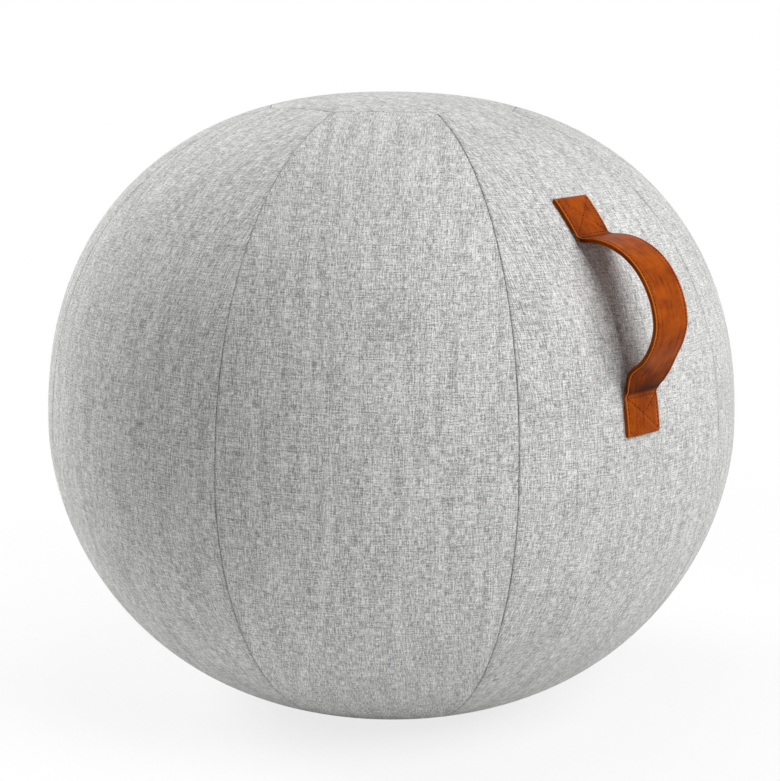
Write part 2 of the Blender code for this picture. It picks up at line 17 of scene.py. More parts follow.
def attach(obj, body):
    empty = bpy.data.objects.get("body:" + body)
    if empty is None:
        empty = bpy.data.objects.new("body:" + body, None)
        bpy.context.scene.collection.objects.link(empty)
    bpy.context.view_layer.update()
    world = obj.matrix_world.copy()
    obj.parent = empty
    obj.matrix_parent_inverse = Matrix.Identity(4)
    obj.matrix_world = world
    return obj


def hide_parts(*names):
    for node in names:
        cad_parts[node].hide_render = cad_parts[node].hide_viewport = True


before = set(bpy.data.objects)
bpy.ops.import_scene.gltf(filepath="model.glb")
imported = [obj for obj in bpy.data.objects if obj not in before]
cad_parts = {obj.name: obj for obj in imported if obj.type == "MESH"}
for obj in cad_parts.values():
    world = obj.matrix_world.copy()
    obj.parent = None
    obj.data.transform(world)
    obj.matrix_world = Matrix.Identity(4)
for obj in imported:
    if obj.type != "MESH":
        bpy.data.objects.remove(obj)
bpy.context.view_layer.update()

# %% [markdown]
# ## The curve that everything follows
#
# A tight cover over air takes a smooth turned shape. It could be sculpted, but one formula keeps the
# cloth, the zip and the leather in step: two quarter superellipses, radius R * cos(t)^(2/a) and rise H *
# sin(t)^(2/b), meet where the ball is widest. The lower one would reach a little under the floor, so the
# ball stands on a flat.

# %% Half section of the cover
COVER_RADIUS, WIDEST_HEIGHT, CROWN_RISE, BASE_CUT = 0.325, 0.2676, 0.3083, 0.0080
CROWN_POWERS, BASE_POWERS = (2.315, 2.261), (2.405, 1.838)


def cover_curve(samples=1601):
    """Radius, height, arc length from the crown, and the outward normal along the half section."""
    turn = np.linspace(math.pi / 2, -math.pi / 2, samples)
    out, up = np.cos(turn).clip(0), np.abs(np.sin(turn))
    above = turn >= 0
    radius = COVER_RADIUS * np.where(above, out ** (2 / CROWN_POWERS[0]), out ** (2 / BASE_POWERS[0]))
    drop = -(WIDEST_HEIGHT + BASE_CUT) * up ** (2 / BASE_POWERS[1])
    height = WIDEST_HEIGHT + np.where(above, CROWN_RISE * up ** (2 / CROWN_POWERS[1]), drop)
    radius, height = radius[height > 0], height[height > 0]
    arc = np.concatenate([[0], np.hypot(np.diff(radius), np.diff(height)).cumsum()])
    slope_r, slope_z = np.gradient(radius, arc), np.gradient(height, arc)
    slope_r[0], slope_z[0] = 1, 0
    length = np.hypot(slope_r, slope_z)
    return radius, height, arc, -slope_z / length, slope_r / length


CURVE_R, CURVE_Z, CURVE_S, CURVE_NR, CURVE_NZ = cover_curve()
WIDEST = int(CURVE_R.argmax())


def section_at(arc, depth):
    """Radius and height of a point under the cover's outer face: curve point minus depth * normal."""
    radius, height, out, up = (np.interp(arc, CURVE_S, v) for v in (CURVE_R, CURVE_Z, CURVE_NR, CURVE_NZ))
    return radius - depth * out, height - depth * up


def together(*parts):
    """Coordinates joined into one array of points, whatever part of the grid each of them spans."""
    return np.stack(np.broadcast_arrays(*parts), axis=-1)


def turned(radius, azimuth, height):
    """Points at a radius and height, turned about Z to an azimuth measured from -Y towards +X."""
    return together(radius * np.sin(azimuth), -radius * np.cos(azimuth), height)


def cover_point(arc, azimuth, depth):
    """The point of the section at an arc length and depth, turned to an azimuth."""
    radius, height = section_at(arc, depth)
    return turned(radius, azimuth, height)


def upper_arc(radius):
    """Arc length from the crown at which the upper half reaches a radius."""
    return np.interp(radius, CURVE_R[: WIDEST + 1], CURVE_S[: WIDEST + 1])


def arc_at_height(height):
    """Arc length from the crown at which the cover is at a height."""
    return float(np.interp(height, CURVE_Z[::-1], CURVE_S[::-1]))


floor_arc, flat_rim = float(CURVE_S[-1]), float(CURVE_R[-1])
print("crown to floor along the cover:", round(floor_arc, 4), "m; flat of radius", round(flat_rim, 4))

# %% [markdown]
# ## The camera
#
# A product picture like this is taken with a long lens from a little above. The camera looks at the
# middle of the ball's widest circle; a lens shift then slides the picture so that the ball sits where it
# should, without tilting the camera any further. A long lens could also stand further off, but then the
# crown panel would show less of its curve.

# %% Camera
CAMERA_AZIMUTH, CAMERA_ELEVATION, CAMERA_ROLL, CAMERA_DISTANCE = -39.84, 11.44, 0.5, 1.915
LENS, SENSOR, LENS_SHIFT = 91.81, 36.0, (-0.0017, 0.0337)
scene = bpy.context.scene


def looking_at_ball(azimuth, elevation, distance):
    """Place and turn of a lens or lamp that faces the ball's middle; azimuth and elevation in degrees."""
    a, e = math.radians(azimuth), math.radians(elevation)
    out = Vector((math.sin(a) * math.cos(e), -math.cos(a) * math.cos(e), math.sin(e)))
    facing = out.to_track_quat("Z", "Y").to_matrix().to_4x4()
    return Matrix.Translation(Vector((0, 0, WIDEST_HEIGHT)) + out * distance) @ facing


camera_data = bpy.data.cameras.new("camera")
camera_data.sensor_fit = "VERTICAL"
camera_data.sensor_width = camera_data.sensor_height = SENSOR
camera_data.lens = LENS
camera_data.shift_x, camera_data.shift_y = LENS_SHIFT
camera = bpy.data.objects.new("camera", camera_data)
scene.collection.objects.link(camera)
roll = Matrix.Rotation(math.radians(CAMERA_ROLL), 4, "Z")
camera.matrix_world = looking_at_ball(CAMERA_AZIMUTH, CAMERA_ELEVATION, CAMERA_DISTANCE) @ roll
scene.camera = camera
scene.view_settings.view_transform = "Standard"
print("camera at", [round(v, 3) for v in camera.matrix_world.translation])

# %% [markdown]
# ## From arrays to meshes
#
# Every soft piece here is a grid of points: a function of two parameters, worked out as whole arrays. A
# piece of cloth or leather has two faces, so a second grid lies under the first and a wall runs round the
# rim. A Solidify modifier could do that too; with both grids at hand the hem can be thicker than the
# rest.

# %% Mesh helpers
SHARP_ANGLE = math.radians(50)


def grid_quads(rows, columns, around=False):
    """Corner numbers of all quads of a grid; with around, the last column joins the first."""
    down, right = np.arange(rows - 1)[:, None], np.arange(columns if around else columns - 1)[None]
    beside = (right + 1) % columns
    here, below = down * columns, (down + 1) * columns
    corners = here + right, below + right, below + beside, here + beside
    return together(*corners).reshape(-1, 4)


def end_faces(rows, columns):
    """Point numbers of the first and the last loop of a grid that closes round, each as one face."""
    last = (rows - 1) * columns
    return [range(columns), range(last + columns - 1, last - 1, -1)]


def run_length(points):
    """Length along a line of points, from nought at its start."""
    return np.concatenate([[0], np.linalg.norm(np.diff(points, axis=0), axis=1).cumsum()])


def unit(vectors):
    """Every vector of a list divided by its length."""
    return vectors / np.linalg.norm(vectors, axis=1)[:, None]


def full_turn(count):
    """So many angles once round, as one row of a grid."""
    return np.linspace(0, 2 * math.pi, count, endpoint=False)[None]


def two_faced(outer, inner, rim, around=False):
    """Points and quads of a sheet between two grids, with a wall along the numbers of its rim."""
    rows, columns = outer.shape[:2]
    count, ahead = rows * columns, np.roll(rim, -1)
    front = grid_quads(rows, columns, around)
    wall = np.stack([rim, ahead, ahead + count, rim + count], axis=-1)
    points = np.concatenate([outer.reshape(-1, 3), inner.reshape(-1, 3)])
    return points, np.concatenate([front, front[:, ::-1] + count, wall])


def closed_sheet(outer, inner):
    """Points and quads of a sheet whose rim runs along the four edges of its grids."""
    rows, columns = outer.shape[:2]
    top, right = np.arange(columns), np.arange(1, rows) * columns + columns - 1
    bottom = (rows - 1) * columns + np.arange(columns - 2, -1, -1)
    left = np.arange(rows - 2, 0, -1) * columns
    return two_faced(outer, inner, np.concatenate([top, right, bottom, left]))


def closed_disc(outer, inner):
    """Points, quads and the two middle faces of a round sheet between two polar grids."""
    rows, columns = outer.shape[:2]
    rim = rows * columns - 1 - np.arange(columns)
    return *two_faced(outer, inner, rim, around=True), end_faces(rows + 1, columns)


def closed_tube(loops):
    """Points and quads of a body whose closed loops run round and back to the first, as in a turned ring."""
    rows, columns = loops.shape[:2]
    quads = grid_quads(rows + 1, columns, around=True) % (rows * columns)
    return loops.reshape(-1, 3), quads


def inside_out(points, quads):
    """True if the signed volume about the middle, a sum of the corners' triple products, is below nought."""
    a, b, c, d = (points[quads[:, i]] - points.mean(axis=0) for i in range(4))
    return np.einsum("ij,ij->", a, np.cross(b, c)) + np.einsum("ij,ij->", a, np.cross(c, d)) < 0


def piece(name, points, quads, material, body="ball", slot=None, node=(), uv=None, caps=(), marks=None):
    """An object at the origin from points and quads, with a UV map in metres and named marks.

    A map or mark of one face is repeated over all points, so it serves both faces of a sheet.
    """
    mesh = bpy.data.meshes.new(name)
    step = -1 if inside_out(points, quads) else 1
    faces = [*quads[:, ::step].tolist(), *(tuple(cap)[::step] for cap in caps)]
    mesh.from_pydata(points.tolist(), [], faces)
    corner_points = np.empty(len(mesh.loops), dtype=np.int32)
    mesh.loops.foreach_get("vertex_index", corner_points)
    if uv is not None:
        cut = np.resize(uv, (len(points), 2))[corner_points]
        mesh.uv_layers.new(name="cut").data.foreach_set("uv", cut.astype(np.float32).ravel())
    for mark, values in (marks or {}).items():
        layer = mesh.attributes.new(mark, "FLOAT", "POINT")
        layer.data.foreach_set("value", np.resize(values, len(points)).astype(np.float32))
    mesh.shade_smooth()
    mesh.set_sharp_from_angle(angle=SHARP_ANGLE)
    mesh.materials.append(material)
    mesh.validate()
    obj = bpy.data.objects.new(name, mesh)
    scene.collection.objects.link(obj)
    if node:
        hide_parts(*([node] if isinstance(node, str) else node))
    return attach(obj, body)


print("helpers ready: sheets, tubes and pieces")

# %% [markdown]
# ## Finishes as sums
#
# A finish is a small network of nodes. Written as arithmetic it reads like the recipe it is: the class
# below wraps one socket, and adding or multiplying two of them places the Math node that does it. Every
# other node comes from one method, which takes the node's type, its settings and what goes into its
# sockets.

# %% Shader arithmetic


class Strand:
    """One value inside a finish: an output socket, on which sums and products place Math nodes."""

    def __init__(self, tree, socket=None):
        self.tree, self.socket = tree, socket

    def node(self, kind, settings=None, inputs=None, output=0):
        """Adds a node of a type, sets its settings first, then its sockets, and gives one output."""
        made = self.tree.nodes.new(kind)
        for name, setting in (settings or {}).items():
            setattr(made, name, setting)
        for name, given in (inputs or {}).items():
            if isinstance(given, Strand):
                self.tree.links.new(given.socket, made.inputs[name])
            else:
                made.inputs[name].default_value = given
        return Strand(self.tree, made.outputs[output])

    def math(self, operation, first, second=0.0):
        """A Math node on two values or strands."""
        return self.node("ShaderNodeMath", {"operation": operation}, {0: first, 1: second})

    def __add__(self, other):
        return self.math("ADD", self, other)

    def __rsub__(self, other):
        return self.math("SUBTRACT", other, self)

    def __mul__(self, other):
        return self.math("MULTIPLY", self, other)

    def __gt__(self, other):
        return self.math("GREATER_THAN", self, other)

    def __abs__(self):
        return self.math("ABSOLUTE", self)

    __radd__ = __add__
    __rmul__ = __mul__

    def sine(self):
        """Sine of this value, in radians."""
        return self.math("SINE", self)

    def span(self, low, high, to_low=0.0, to_high=1.0):
        """Maps low..high to to_low..to_high and holds the ends."""
        inputs = {0: self, 1: low, 2: high, 3: to_low, 4: to_high}
        return self.node("ShaderNodeMapRange", {"clamp": True}, inputs)

    def mix(self, colour_low, colour_high):
        """Colour between two colours, by this value."""
        inputs = {0: self, 6: colour_low, 7: colour_high}
        return self.node("ShaderNodeMix", {"data_type": "RGBA", "clamp_factor": True}, inputs, output=2)

    def stretched(self, scales):
        """This vector times three scales, in features per metre."""
        return self.node("ShaderNodeVectorMath", {"operation": "MULTIPLY"}, {0: self, 1: scales})

    def noise(self, scales, detail=2.0, roughness=0.5):
        """Noise with so many features per metre along each axis."""
        inputs = {"Vector": self.stretched(scales), "Scale": 1.0, "Detail": detail, "Roughness": roughness}
        return self.node("ShaderNodeTexNoise", {"noise_dimensions": "3D"}, inputs)

    def part(self, axis):
        """One coordinate of a vector."""
        return self.node("ShaderNodeSeparateXYZ", None, {0: self}, output=axis)

    def bump(self, strength, distance):
        """A normal that follows this value as a height; distance in metres."""
        return self.node("ShaderNodeBump", None, {"Strength": strength, "Distance": distance, "Height": self})


class Finish:
    """A Principled material: constants go on its sockets, and strands are joined to them."""

    def __init__(self, name, **constants):
        self.material = bpy.data.materials.new(name)
        self.material.use_nodes = True
        self.tree = self.material.node_tree
        self.shader = self.tree.nodes["Principled BSDF"]
        self.start = Strand(self.tree)
        for socket, value in constants.items():
            self.shader.inputs[socket.replace("_", " ")].default_value = value

    def cut(self):
        """Place on the piece's own flat pattern, in metres."""
        return self.start.node("ShaderNodeUVMap", {"uv_map": "cut"})

    def place(self):
        """Place in the object's own frame, in metres."""
        return self.start.node("ShaderNodeTexCoord", output=3)

    def attribute(self, name):
        """A mark that the mesh carries, from nought to one."""
        return self.start.node("ShaderNodeAttribute", {"attribute_name": name}, output=2)

    def join(self, **strands):
        """Joins strands to the sockets of the same names and gives the material."""
        for socket, strand in strands.items():
            self.tree.links.new(strand.socket, self.shader.inputs[socket.replace("_", " ")])
        return self.material


print("finish helpers ready")

# %% [markdown]
# ## Grey melange cloth
#
# The cover is a plain weave of yarns that were spun from light and dark fibre, so each yarn changes tone
# along its length. A flat grey with some grain would miss that. Here every warp yarn and every weft yarn
# has its own streaky noise, long along the yarn and short across it, and a chequer decides which of the
# two lies on top.

# %% Cover cloth
YARN, CLOTH_RELIEF = 0.00095, 0.0006
CLOTH_DARK, CLOTH_LIGHT = (0.235, 0.235, 0.232, 1), (0.85, 0.85, 0.835, 1)
STREAKS, SLUBS, FLECKS, BANDS = 120.0, 16.0, 800.0, (110.0, 14.0)
WARP_SHARE, WEFT_SHARE, SLUB_SHARE, TOP_SHARE = 0.26, 0.16, 0.11, 0.36
YARN_TONE, FLECK_TONE, BAND_TONE = 0.68, 0.23, 0.09
TONE_RANGE, SEAM_SHADE_FLECKS, WEAVE_SHARE = (0.424, 0.576), (0.35, 0.65, 0.9, 0.2), 0.4


def waves(cut, pitch):
    """Hills and hollows on the cut: sin(pi u / p) * sin(pi v / p)."""
    across, down = ((cut.part(axis) * (math.pi / pitch)).sine() for axis in (0, 1))
    return across * down


def melange(name):
    """Mottled plain weave: slubs along both yarns, flecks, relief, and painted shade along a sewn edge."""
    finish = Finish(name, Roughness=0.92, Specular_IOR_Level=0.2, Sheen_Weight=0.1, Sheen_Roughness=0.5)
    cut, fine = finish.cut(), 0.9 / YARN
    height = waves(cut, YARN)
    warp_up = height > 0.0
    warp = cut.noise((fine, STREAKS, 1.0), roughness=0.6)
    weft = cut.noise((STREAKS, fine, 1.0), roughness=0.6)
    slubs = cut.noise((fine, SLUBS, 1.0), detail=1.0) + cut.noise((SLUBS, fine, 1.0), detail=1.0)
    fleck = cut.noise((FLECKS, FLECKS, 1.0))
    band = cut.noise((*BANDS, 1.0))
    on_top = warp * warp_up + weft * (1 - warp_up)
    yarns = warp * WARP_SHARE + weft * WEFT_SHARE + slubs * SLUB_SHARE + on_top * TOP_SHARE
    tone = yarns * YARN_TONE + fleck * FLECK_TONE + band * BAND_TONE
    # Near a seam the colour is darkened in flecks: painted shade of the seam's groove.
    painted_seam_shade = finish.attribute("edge")
    shade = tone.span(*TONE_RANGE) * (1 - painted_seam_shade * fleck.span(*SEAM_SHADE_FLECKS))
    relief = height * WEAVE_SHARE + tone
    return finish.join(
        Base_Color=shade.mix(CLOTH_DARK, CLOTH_LIGHT), Normal=relief.bump(0.4, CLOTH_RELIEF)
    )


cover_cloth = melange("cover_cloth")
print("cloth:", cover_cloth.name, "with yarns", YARN * 1000, "mm apart")

# %% Non-slip base cloth, webbing and zip tape
BASE_YARN, DOT_PITCH, DOT_RELIEF, RIB_RELIEF = 0.0012, 0.006, 0.0008, 0.0005
BASE_DARK, BASE_LIGHT = (0.030, 0.030, 0.033, 1), (0.085, 0.085, 0.090, 1)
DOT_COLOUR, DOT_CUT = (0.020, 0.020, 0.022, 1), (0.80, 0.90)
BASE_FIBRE, BAND_FIBRE = 300.0, 500.0


def dotted_base(name):
    """Dark coarse weave with rows of small raised rubber dots, each a sine hill cut off low."""
    finish = Finish(name, Specular_IOR_Level=0.3)
    cut = finish.cut()
    dot = abs(waves(cut, DOT_PITCH)).span(*DOT_CUT)
    tone = cut.noise((BASE_FIBRE, BASE_FIBRE, 1.0), detail=3.0).span(0.3, 0.7)
    relief = waves(cut, BASE_YARN) * 0.25 * (1 - dot) + dot * 1.5
    return finish.join(
        Base_Color=dot.mix(tone.mix(BASE_DARK, BASE_LIGHT), DOT_COLOUR),
        Roughness=dot.span(0.0, 1.0, 0.92, 0.55),
        Normal=relief.bump(0.7, DOT_RELIEF),
    )


def ribbed_band(name, dark, light, yarn):
    """A firm band: diagonal ribs sin(pi (u + v) / p) over a little yarn noise."""
    finish = Finish(name, Roughness=0.82, Specular_IOR_Level=0.3)
    cut = finish.cut()
    rib = ((cut.part(0) + cut.part(1)) * (math.pi / yarn)).sine()
    tone = cut.noise((BAND_FIBRE, BAND_FIBRE, 1.0), detail=3.0) * 0.6 + abs(rib) * 0.4
    return finish.join(
        Base_Color=tone.span(0.25, 0.75).mix(dark, light), Normal=abs(rib).bump(0.6, RIB_RELIEF)
    )


base_cloth = dotted_base("base_cloth")
webbing = ribbed_band("webbing", (0.18, 0.175, 0.17, 1), (0.40, 0.39, 0.38, 1), 0.0016)
tape_cloth = ribbed_band("tape_cloth", (0.16, 0.16, 0.165, 1), (0.36, 0.36, 0.37, 1), 0.0008)
print("cloths:", base_cloth.name, webbing.name, tape_cloth.name)

# %% [markdown]
# ## Cognac leather and its thread
#
# The strap is smooth tanned leather: warm brown, a soft gloss, fine pores, and edges that were burnished
# and show a lighter orange. The pores come from a cell pattern under a millimetre, the waxy streaks from
# noise drawn out along the strap, and an attribute on the mesh says how near a point is to the edge. That
# edge colour is dimmed on the lower half of the edge and on the lining as painted shade, and a second
# attribute darkens the leather near the folds, partly as wear and partly as painted shade.

# %% Leather and thread
LEATHER_DARK, LEATHER_LIGHT = (0.180, 0.027, 0.001, 1), (0.430, 0.084, 0.003, 1)
LEATHER_CREASE_WEAR_AND_SHADE, LEATHER_EDGE = (0.050, 0.008, 0.001, 1), (0.660, 0.190, 0.030, 1)
THREAD_DARK, THREAD_LIGHT = (0.008, 0.003, 0.001, 1), (0.040, 0.012, 0.004, 1)
TWIST, THREAD_FIBRE = 6000.0, 900.0
PORES, CLOUDS, WAX, WRINKLES, LEATHER_RELIEF = 1300.0, 55.0, (420.0, 40.0), 160.0, 0.0003


def tanned(name):
    """Cell-grained leather with lengthwise waxy streaks, slow clouds and a lighter burnished edge."""
    finish = Finish(name, Specular_IOR_Level=0.045)
    cut, edge, crease_wear_and_shade = finish.cut(), finish.attribute("edge"), finish.attribute("crease_wear_and_shade")
    grain = {"Vector": cut.stretched((PORES, PORES, 1.0)), "Scale": 1.0}
    pore = cut.node("ShaderNodeTexVoronoi", {"feature": "DISTANCE_TO_EDGE"}, grain).span(0.0, 0.25)
    cloud = cut.noise((CLOUDS, CLOUDS, 1.0), detail=4.0, roughness=0.6)
    streak = cut.noise((*WAX, 1.0), detail=3.0, roughness=0.6)
    tone = (cloud * 0.6 + streak * 0.4).span(0.36, 0.64)
    # Near the folds the colour goes to a dark brown: partly wear, partly painted shade of the arch's feet.
    body = (crease_wear_and_shade * (1.4 - tone * 0.4)).mix(tone.mix(LEATHER_DARK, LEATHER_LIGHT), LEATHER_CREASE_WEAR_AND_SHADE)
    relief = pore * 0.5 + cut.noise((WRINKLES, WRINKLES, 1.0), detail=3.0) * 0.8
    return finish.join(
        # The lighter edge colour follows the edge mark, which carries painted shade below the upper face and
        # on the lining.
        Base_Color=edge.span(0.45, 0.95).mix(body, LEATHER_EDGE),
        Roughness=(pore * 0.5 + streak * 0.5).span(0.2, 0.8, 0.50, 0.34),
        Normal=relief.bump(0.3, LEATHER_RELIEF),
    )


def waxed_thread(name):
    """Dark twisted thread: diagonal twist lines over a little fibre noise."""
    finish = Finish(name, Roughness=0.7, Specular_IOR_Level=0.1)
    place = finish.place()
    twist = ((place.part(0) + place.part(2)) * TWIST).sine()
    tone = place.noise((THREAD_FIBRE,) * 3) * 0.7 + twist * 0.15 + 0.15
    return finish.join(Base_Color=tone.span(0.2, 0.8).mix(THREAD_DARK, THREAD_LIGHT))


leather = tanned("handle_leather")
thread = waxed_thread("thread")
print("leather and thread:", leather.name, thread.name)

# %% [markdown]
# ## Moulded and metal finishes
#
# The bladder is smooth vinyl, the ring in the base is dense foam, the zip teeth are nylon, and the slider
# with its pull is a small tumbled casting. Each gets the faint unevenness of its own making on the
# object's coordinates, because those pieces have no flat pattern to follow.

# %% Vinyl, foam, nylon and metal
SLOW_CLOUDS = 35.0


def moulded(name, dark, light, rough, scale, depth, metallic=0.0):
    """Uneven moulded skin: noise in tone, in roughness and in a shallow relief."""
    finish = Finish(name, Metallic=metallic)
    place = finish.place()
    fine = place.noise((scale,) * 3, detail=4.0, roughness=0.6)
    slow = place.noise((SLOW_CLOUDS,) * 3)
    tone = (fine * 0.6 + slow * 0.4).span(0.3, 0.7)
    return finish.join(
        Base_Color=tone.mix(dark, light), Roughness=fine.span(0.3, 0.7, *rough), Normal=fine.bump(0.4, depth)
    )


vinyl = moulded("vinyl", (0.235, 0.25, 0.28, 1), (0.32, 0.34, 0.37, 1), (0.42, 0.55), 260.0, 0.0003)
foam = moulded("foam", (0.03, 0.03, 0.03, 1), (0.075, 0.075, 0.075, 1), (0.85, 0.97), 900.0, 0.0006)
nylon = moulded("nylon", (0.24, 0.24, 0.245, 1), (0.34, 0.34, 0.345, 1), (0.40, 0.55), 700.0, 0.0001)
zip_metal = moulded(
    "zip_metal", (0.36, 0.36, 0.37, 1), (0.52, 0.52, 0.53, 1), (0.24, 0.42), 1400.0, 0.0001, metallic=1.0
)
print("moulded finishes:", vinyl.name, foam.name, nylon.name, zip_metal.name)

# %% [markdown]
# ## Eight side panels
#
# Each panel is one tapered cut of cloth. Sewn edge to edge, two panels roll inwards into a fine dark
# groove, and the hem behind the seam is a second layer. A bump line could draw the groove, but a real one
# also breaks the outline and catches light, so the surface itself dips: depth = a * exp(-distance / b)
# from the sewn edge. The cloth's colour is darkened along the seam as well: painted shade of the groove.

# %% Panel sizes
PANEL_COUNT, PANEL_TURN = 8, math.radians(1.3)
FABRIC, HEM, SEAM_GAP = 0.0025, 0.010, 0.0003
TOP_PANEL_RADIUS, TOP_EDGE_BOW = 0.119, 0.6
ZIP_RISE, ZIP_HALF_WIDTH = 0.0408329, 0.0038
half_panel = math.pi / PANEL_COUNT
zip_line = floor_arc - ZIP_RISE
FROM_EDGE = np.array([
    0, 0.0002, 0.0004, 0.0007, 0.0011, 0.0017, 0.0026, 0.0041, 0.0066, 0.0098, 0.0108, 0.0140
])
SIDE_DIP, TOP_DIP, DEEP_DIP, SEAM_SHADE_REACH = 0.0008, 0.0009, 0.0012, 0.0009
PUCKER, PUCKER_PITCH, PUCKER_REACH = 0.00010, 0.0085, 0.005
HEM_RAMP, HEM_STOP, LINING_CLEAR, CUT_SHIFT = 0.0006, 0.012, 0.0002, (0.37, 0.53)


def top_edge_radius(local):
    """Edge of the crown panel, a polygon with bowed sides: R * (cos(half panel) / cos(angle))^bow."""
    return TOP_PANEL_RADIUS * (math.cos(half_panel) / np.cos(local)) ** TOP_EDGE_BOW


def sewn_depth(distance, deep, reach=0.0005):
    """Dip of the cloth towards a seam: deep * exp(-distance / reach)."""
    return deep * np.exp(-distance / reach)


def hem_layer(distance):
    """One where the hem doubles the cloth, nought beyond it, with a short ramp."""
    return ((HEM + HEM_RAMP - distance) / HEM_RAMP).clip(0, 1)


panel_top, panel_bottom = float(upper_arc(top_edge_radius(0.0))), zip_line - ZIP_HALF_WIDTH
print("panels reach from", round(panel_top, 4), "to", round(panel_bottom, 4), "m along the cover")

# %% Side panels


def side_panel(number, middle_columns=26, middle_rows=112):
    """Grid over one panel: across by distance from both sewn edges, down by arc length from its top."""
    top, bottom = panel_top, panel_bottom
    body = np.linspace(top + FROM_EDGE[-1], bottom - FROM_EDGE[-1], middle_rows)
    rows = np.concatenate([top + FROM_EDGE[:-1], body, bottom - FROM_EDGE[-2::-1]])[:, None]
    radius = section_at(rows, 0.0)[0]
    half_width = half_panel * radius - SEAM_GAP / 2
    share = np.linspace(-1, 1, middle_columns)[None]
    left = -half_width + FROM_EDGE[None, :-1]
    middle = share * (half_width - FROM_EDGE[-1])
    across = np.concatenate([left, middle, -left[:, ::-1]], axis=1)
    local = across / radius
    fade = ((body[-1] - rows) / (body[-1] - top)).clip(0, 1)
    arc = rows + (upper_arc(top_edge_radius(local) + SEAM_GAP / 2) - top) * fade
    from_side = half_width - np.abs(across)
    from_top, from_bottom = rows - top, bottom - rows
    pucker = PUCKER * np.sin(rows * 2 * math.pi / PUCKER_PITCH + number) * np.exp(-from_side / PUCKER_REACH)
    depth = np.maximum(sewn_depth(from_side, SIDE_DIP), sewn_depth(from_top, TOP_DIP)) + np.abs(pucker)
    depth = np.maximum(depth, sewn_depth(from_bottom, DEEP_DIP))
    # Painted shade: this mark is one at a side or top seam and falls off within a millimetre; it darkens the
    # cloth.
    painted_seam_shade = np.maximum(sewn_depth(from_side, 1.0, SEAM_SHADE_REACH), sewn_depth(from_top, 0.8, SEAM_SHADE_REACH))
    hem = np.maximum(hem_layer(from_side), hem_layer(from_top)) * (from_bottom > HEM_STOP)
    azimuth = local + PANEL_TURN + 2 * half_panel * (number - 1)
    outer = cover_point(arc, azimuth, depth)
    inner = cover_point(arc, azimuth, FABRIC * (1 + hem) + LINING_CLEAR)
    cut = (np.stack([across, arc], axis=-1) + np.array(CUT_SHIFT) * number).reshape(-1, 2)
    made = piece(
        f"panel_cloth_{number}", *closed_sheet(outer, inner), cover_cloth, slot="cover_cloth",
        node=f"side_panel_{number}", uv=cut, marks={"edge": painted_seam_shade},
    )
    widths = 2 * half_width[:, 0] + 2 * HEM
    between_ends = float(np.sum(np.diff(rows[:, 0]) * (widths[1:] + widths[:-1]) / 2))
    flat_area = between_ends + HEM * float(widths[0] + widths[-1])
    flat = float(widths.max()), float(bottom - top + 2 * HEM)
    return flat, flat_area


panels = [side_panel(number) for number in range(1, PANEL_COUNT + 1)]
print("side panels:", len(panels), "cut", [round(v, 3) for v in panels[0][0]], "area", round(panels[0][1], 4))

# %% [markdown]
# ## The crown panel
#
# Where eight seams would meet in a lump, a maker sews in one many-sided panel. It is a polar grid: rings
# of arc length from the crown out to the bowed edge. The weave must not turn with the rings, so its UV is
# the flat cut laid out straight: distance from the middle times sine and cosine.

# %% Crown panel
CROWN_SEAM_SHADE, MIDDLE_SHARE = 0.5, 0.01


def laid_flat(reach, azimuth):
    """Flat cut of a round piece: distance from the middle times sine and cosine."""
    return together(reach * np.sin(azimuth), reach * np.cos(azimuth)).reshape(-1, 2)


def crown_panel(columns=128, middle_rows=26):
    """Rings from a tiny middle ring to the sewn edge, closed by one many-sided face at each pole."""
    azimuth = full_turn(columns)
    local = (azimuth + half_panel) % (2 * half_panel) - half_panel
    edge = upper_arc(top_edge_radius(local) - SEAM_GAP / 2)
    share = np.linspace(MIDDLE_SHARE, 1, middle_rows)[:, None]
    rings = np.concatenate([share * (edge - FROM_EDGE[-1]), edge - FROM_EDGE[-2::-1, None]])
    from_edge = edge - rings
    outer = cover_point(rings, azimuth + PANEL_TURN, sewn_depth(from_edge, DEEP_DIP))
    inner = cover_point(rings, azimuth + PANEL_TURN, FABRIC * (1 + hem_layer(from_edge)) + LINING_CLEAR)
    points, quads, caps = closed_disc(outer, inner)
    # The edge mark darkens the cloth along the crown panel's seam: painted shade of the groove.
    made = piece(
        "crown_cloth", points, quads, cover_cloth, slot="cover_cloth", node="top_panel", caps=caps,
        uv=laid_flat(rings, azimuth), marks={"edge": sewn_depth(from_edge, CROWN_SEAM_SHADE)},
    )
    side = 2 * float(edge.max()) + 2 * HEM
    return made, side


crown, crown_side = crown_panel()
print("crown panel cut from a square of", round(crown_side, 3), "m;", len(crown.data.polygons), "faces")

# %% [markdown]
# ## The base and the strip round its front
#
# The base stands on the floor, so it is a tough dotted cloth instead of the melange. It is one disc: flat
# where it stands, and curving up to the ring where the zip begins. Round the front, where there is no
# zip, a narrow sewn strip of the cover cloth closes the same ring.

# %% Base panel
FLAT_SHARES, RIM_END = (0.001, 0.996), 0.0044


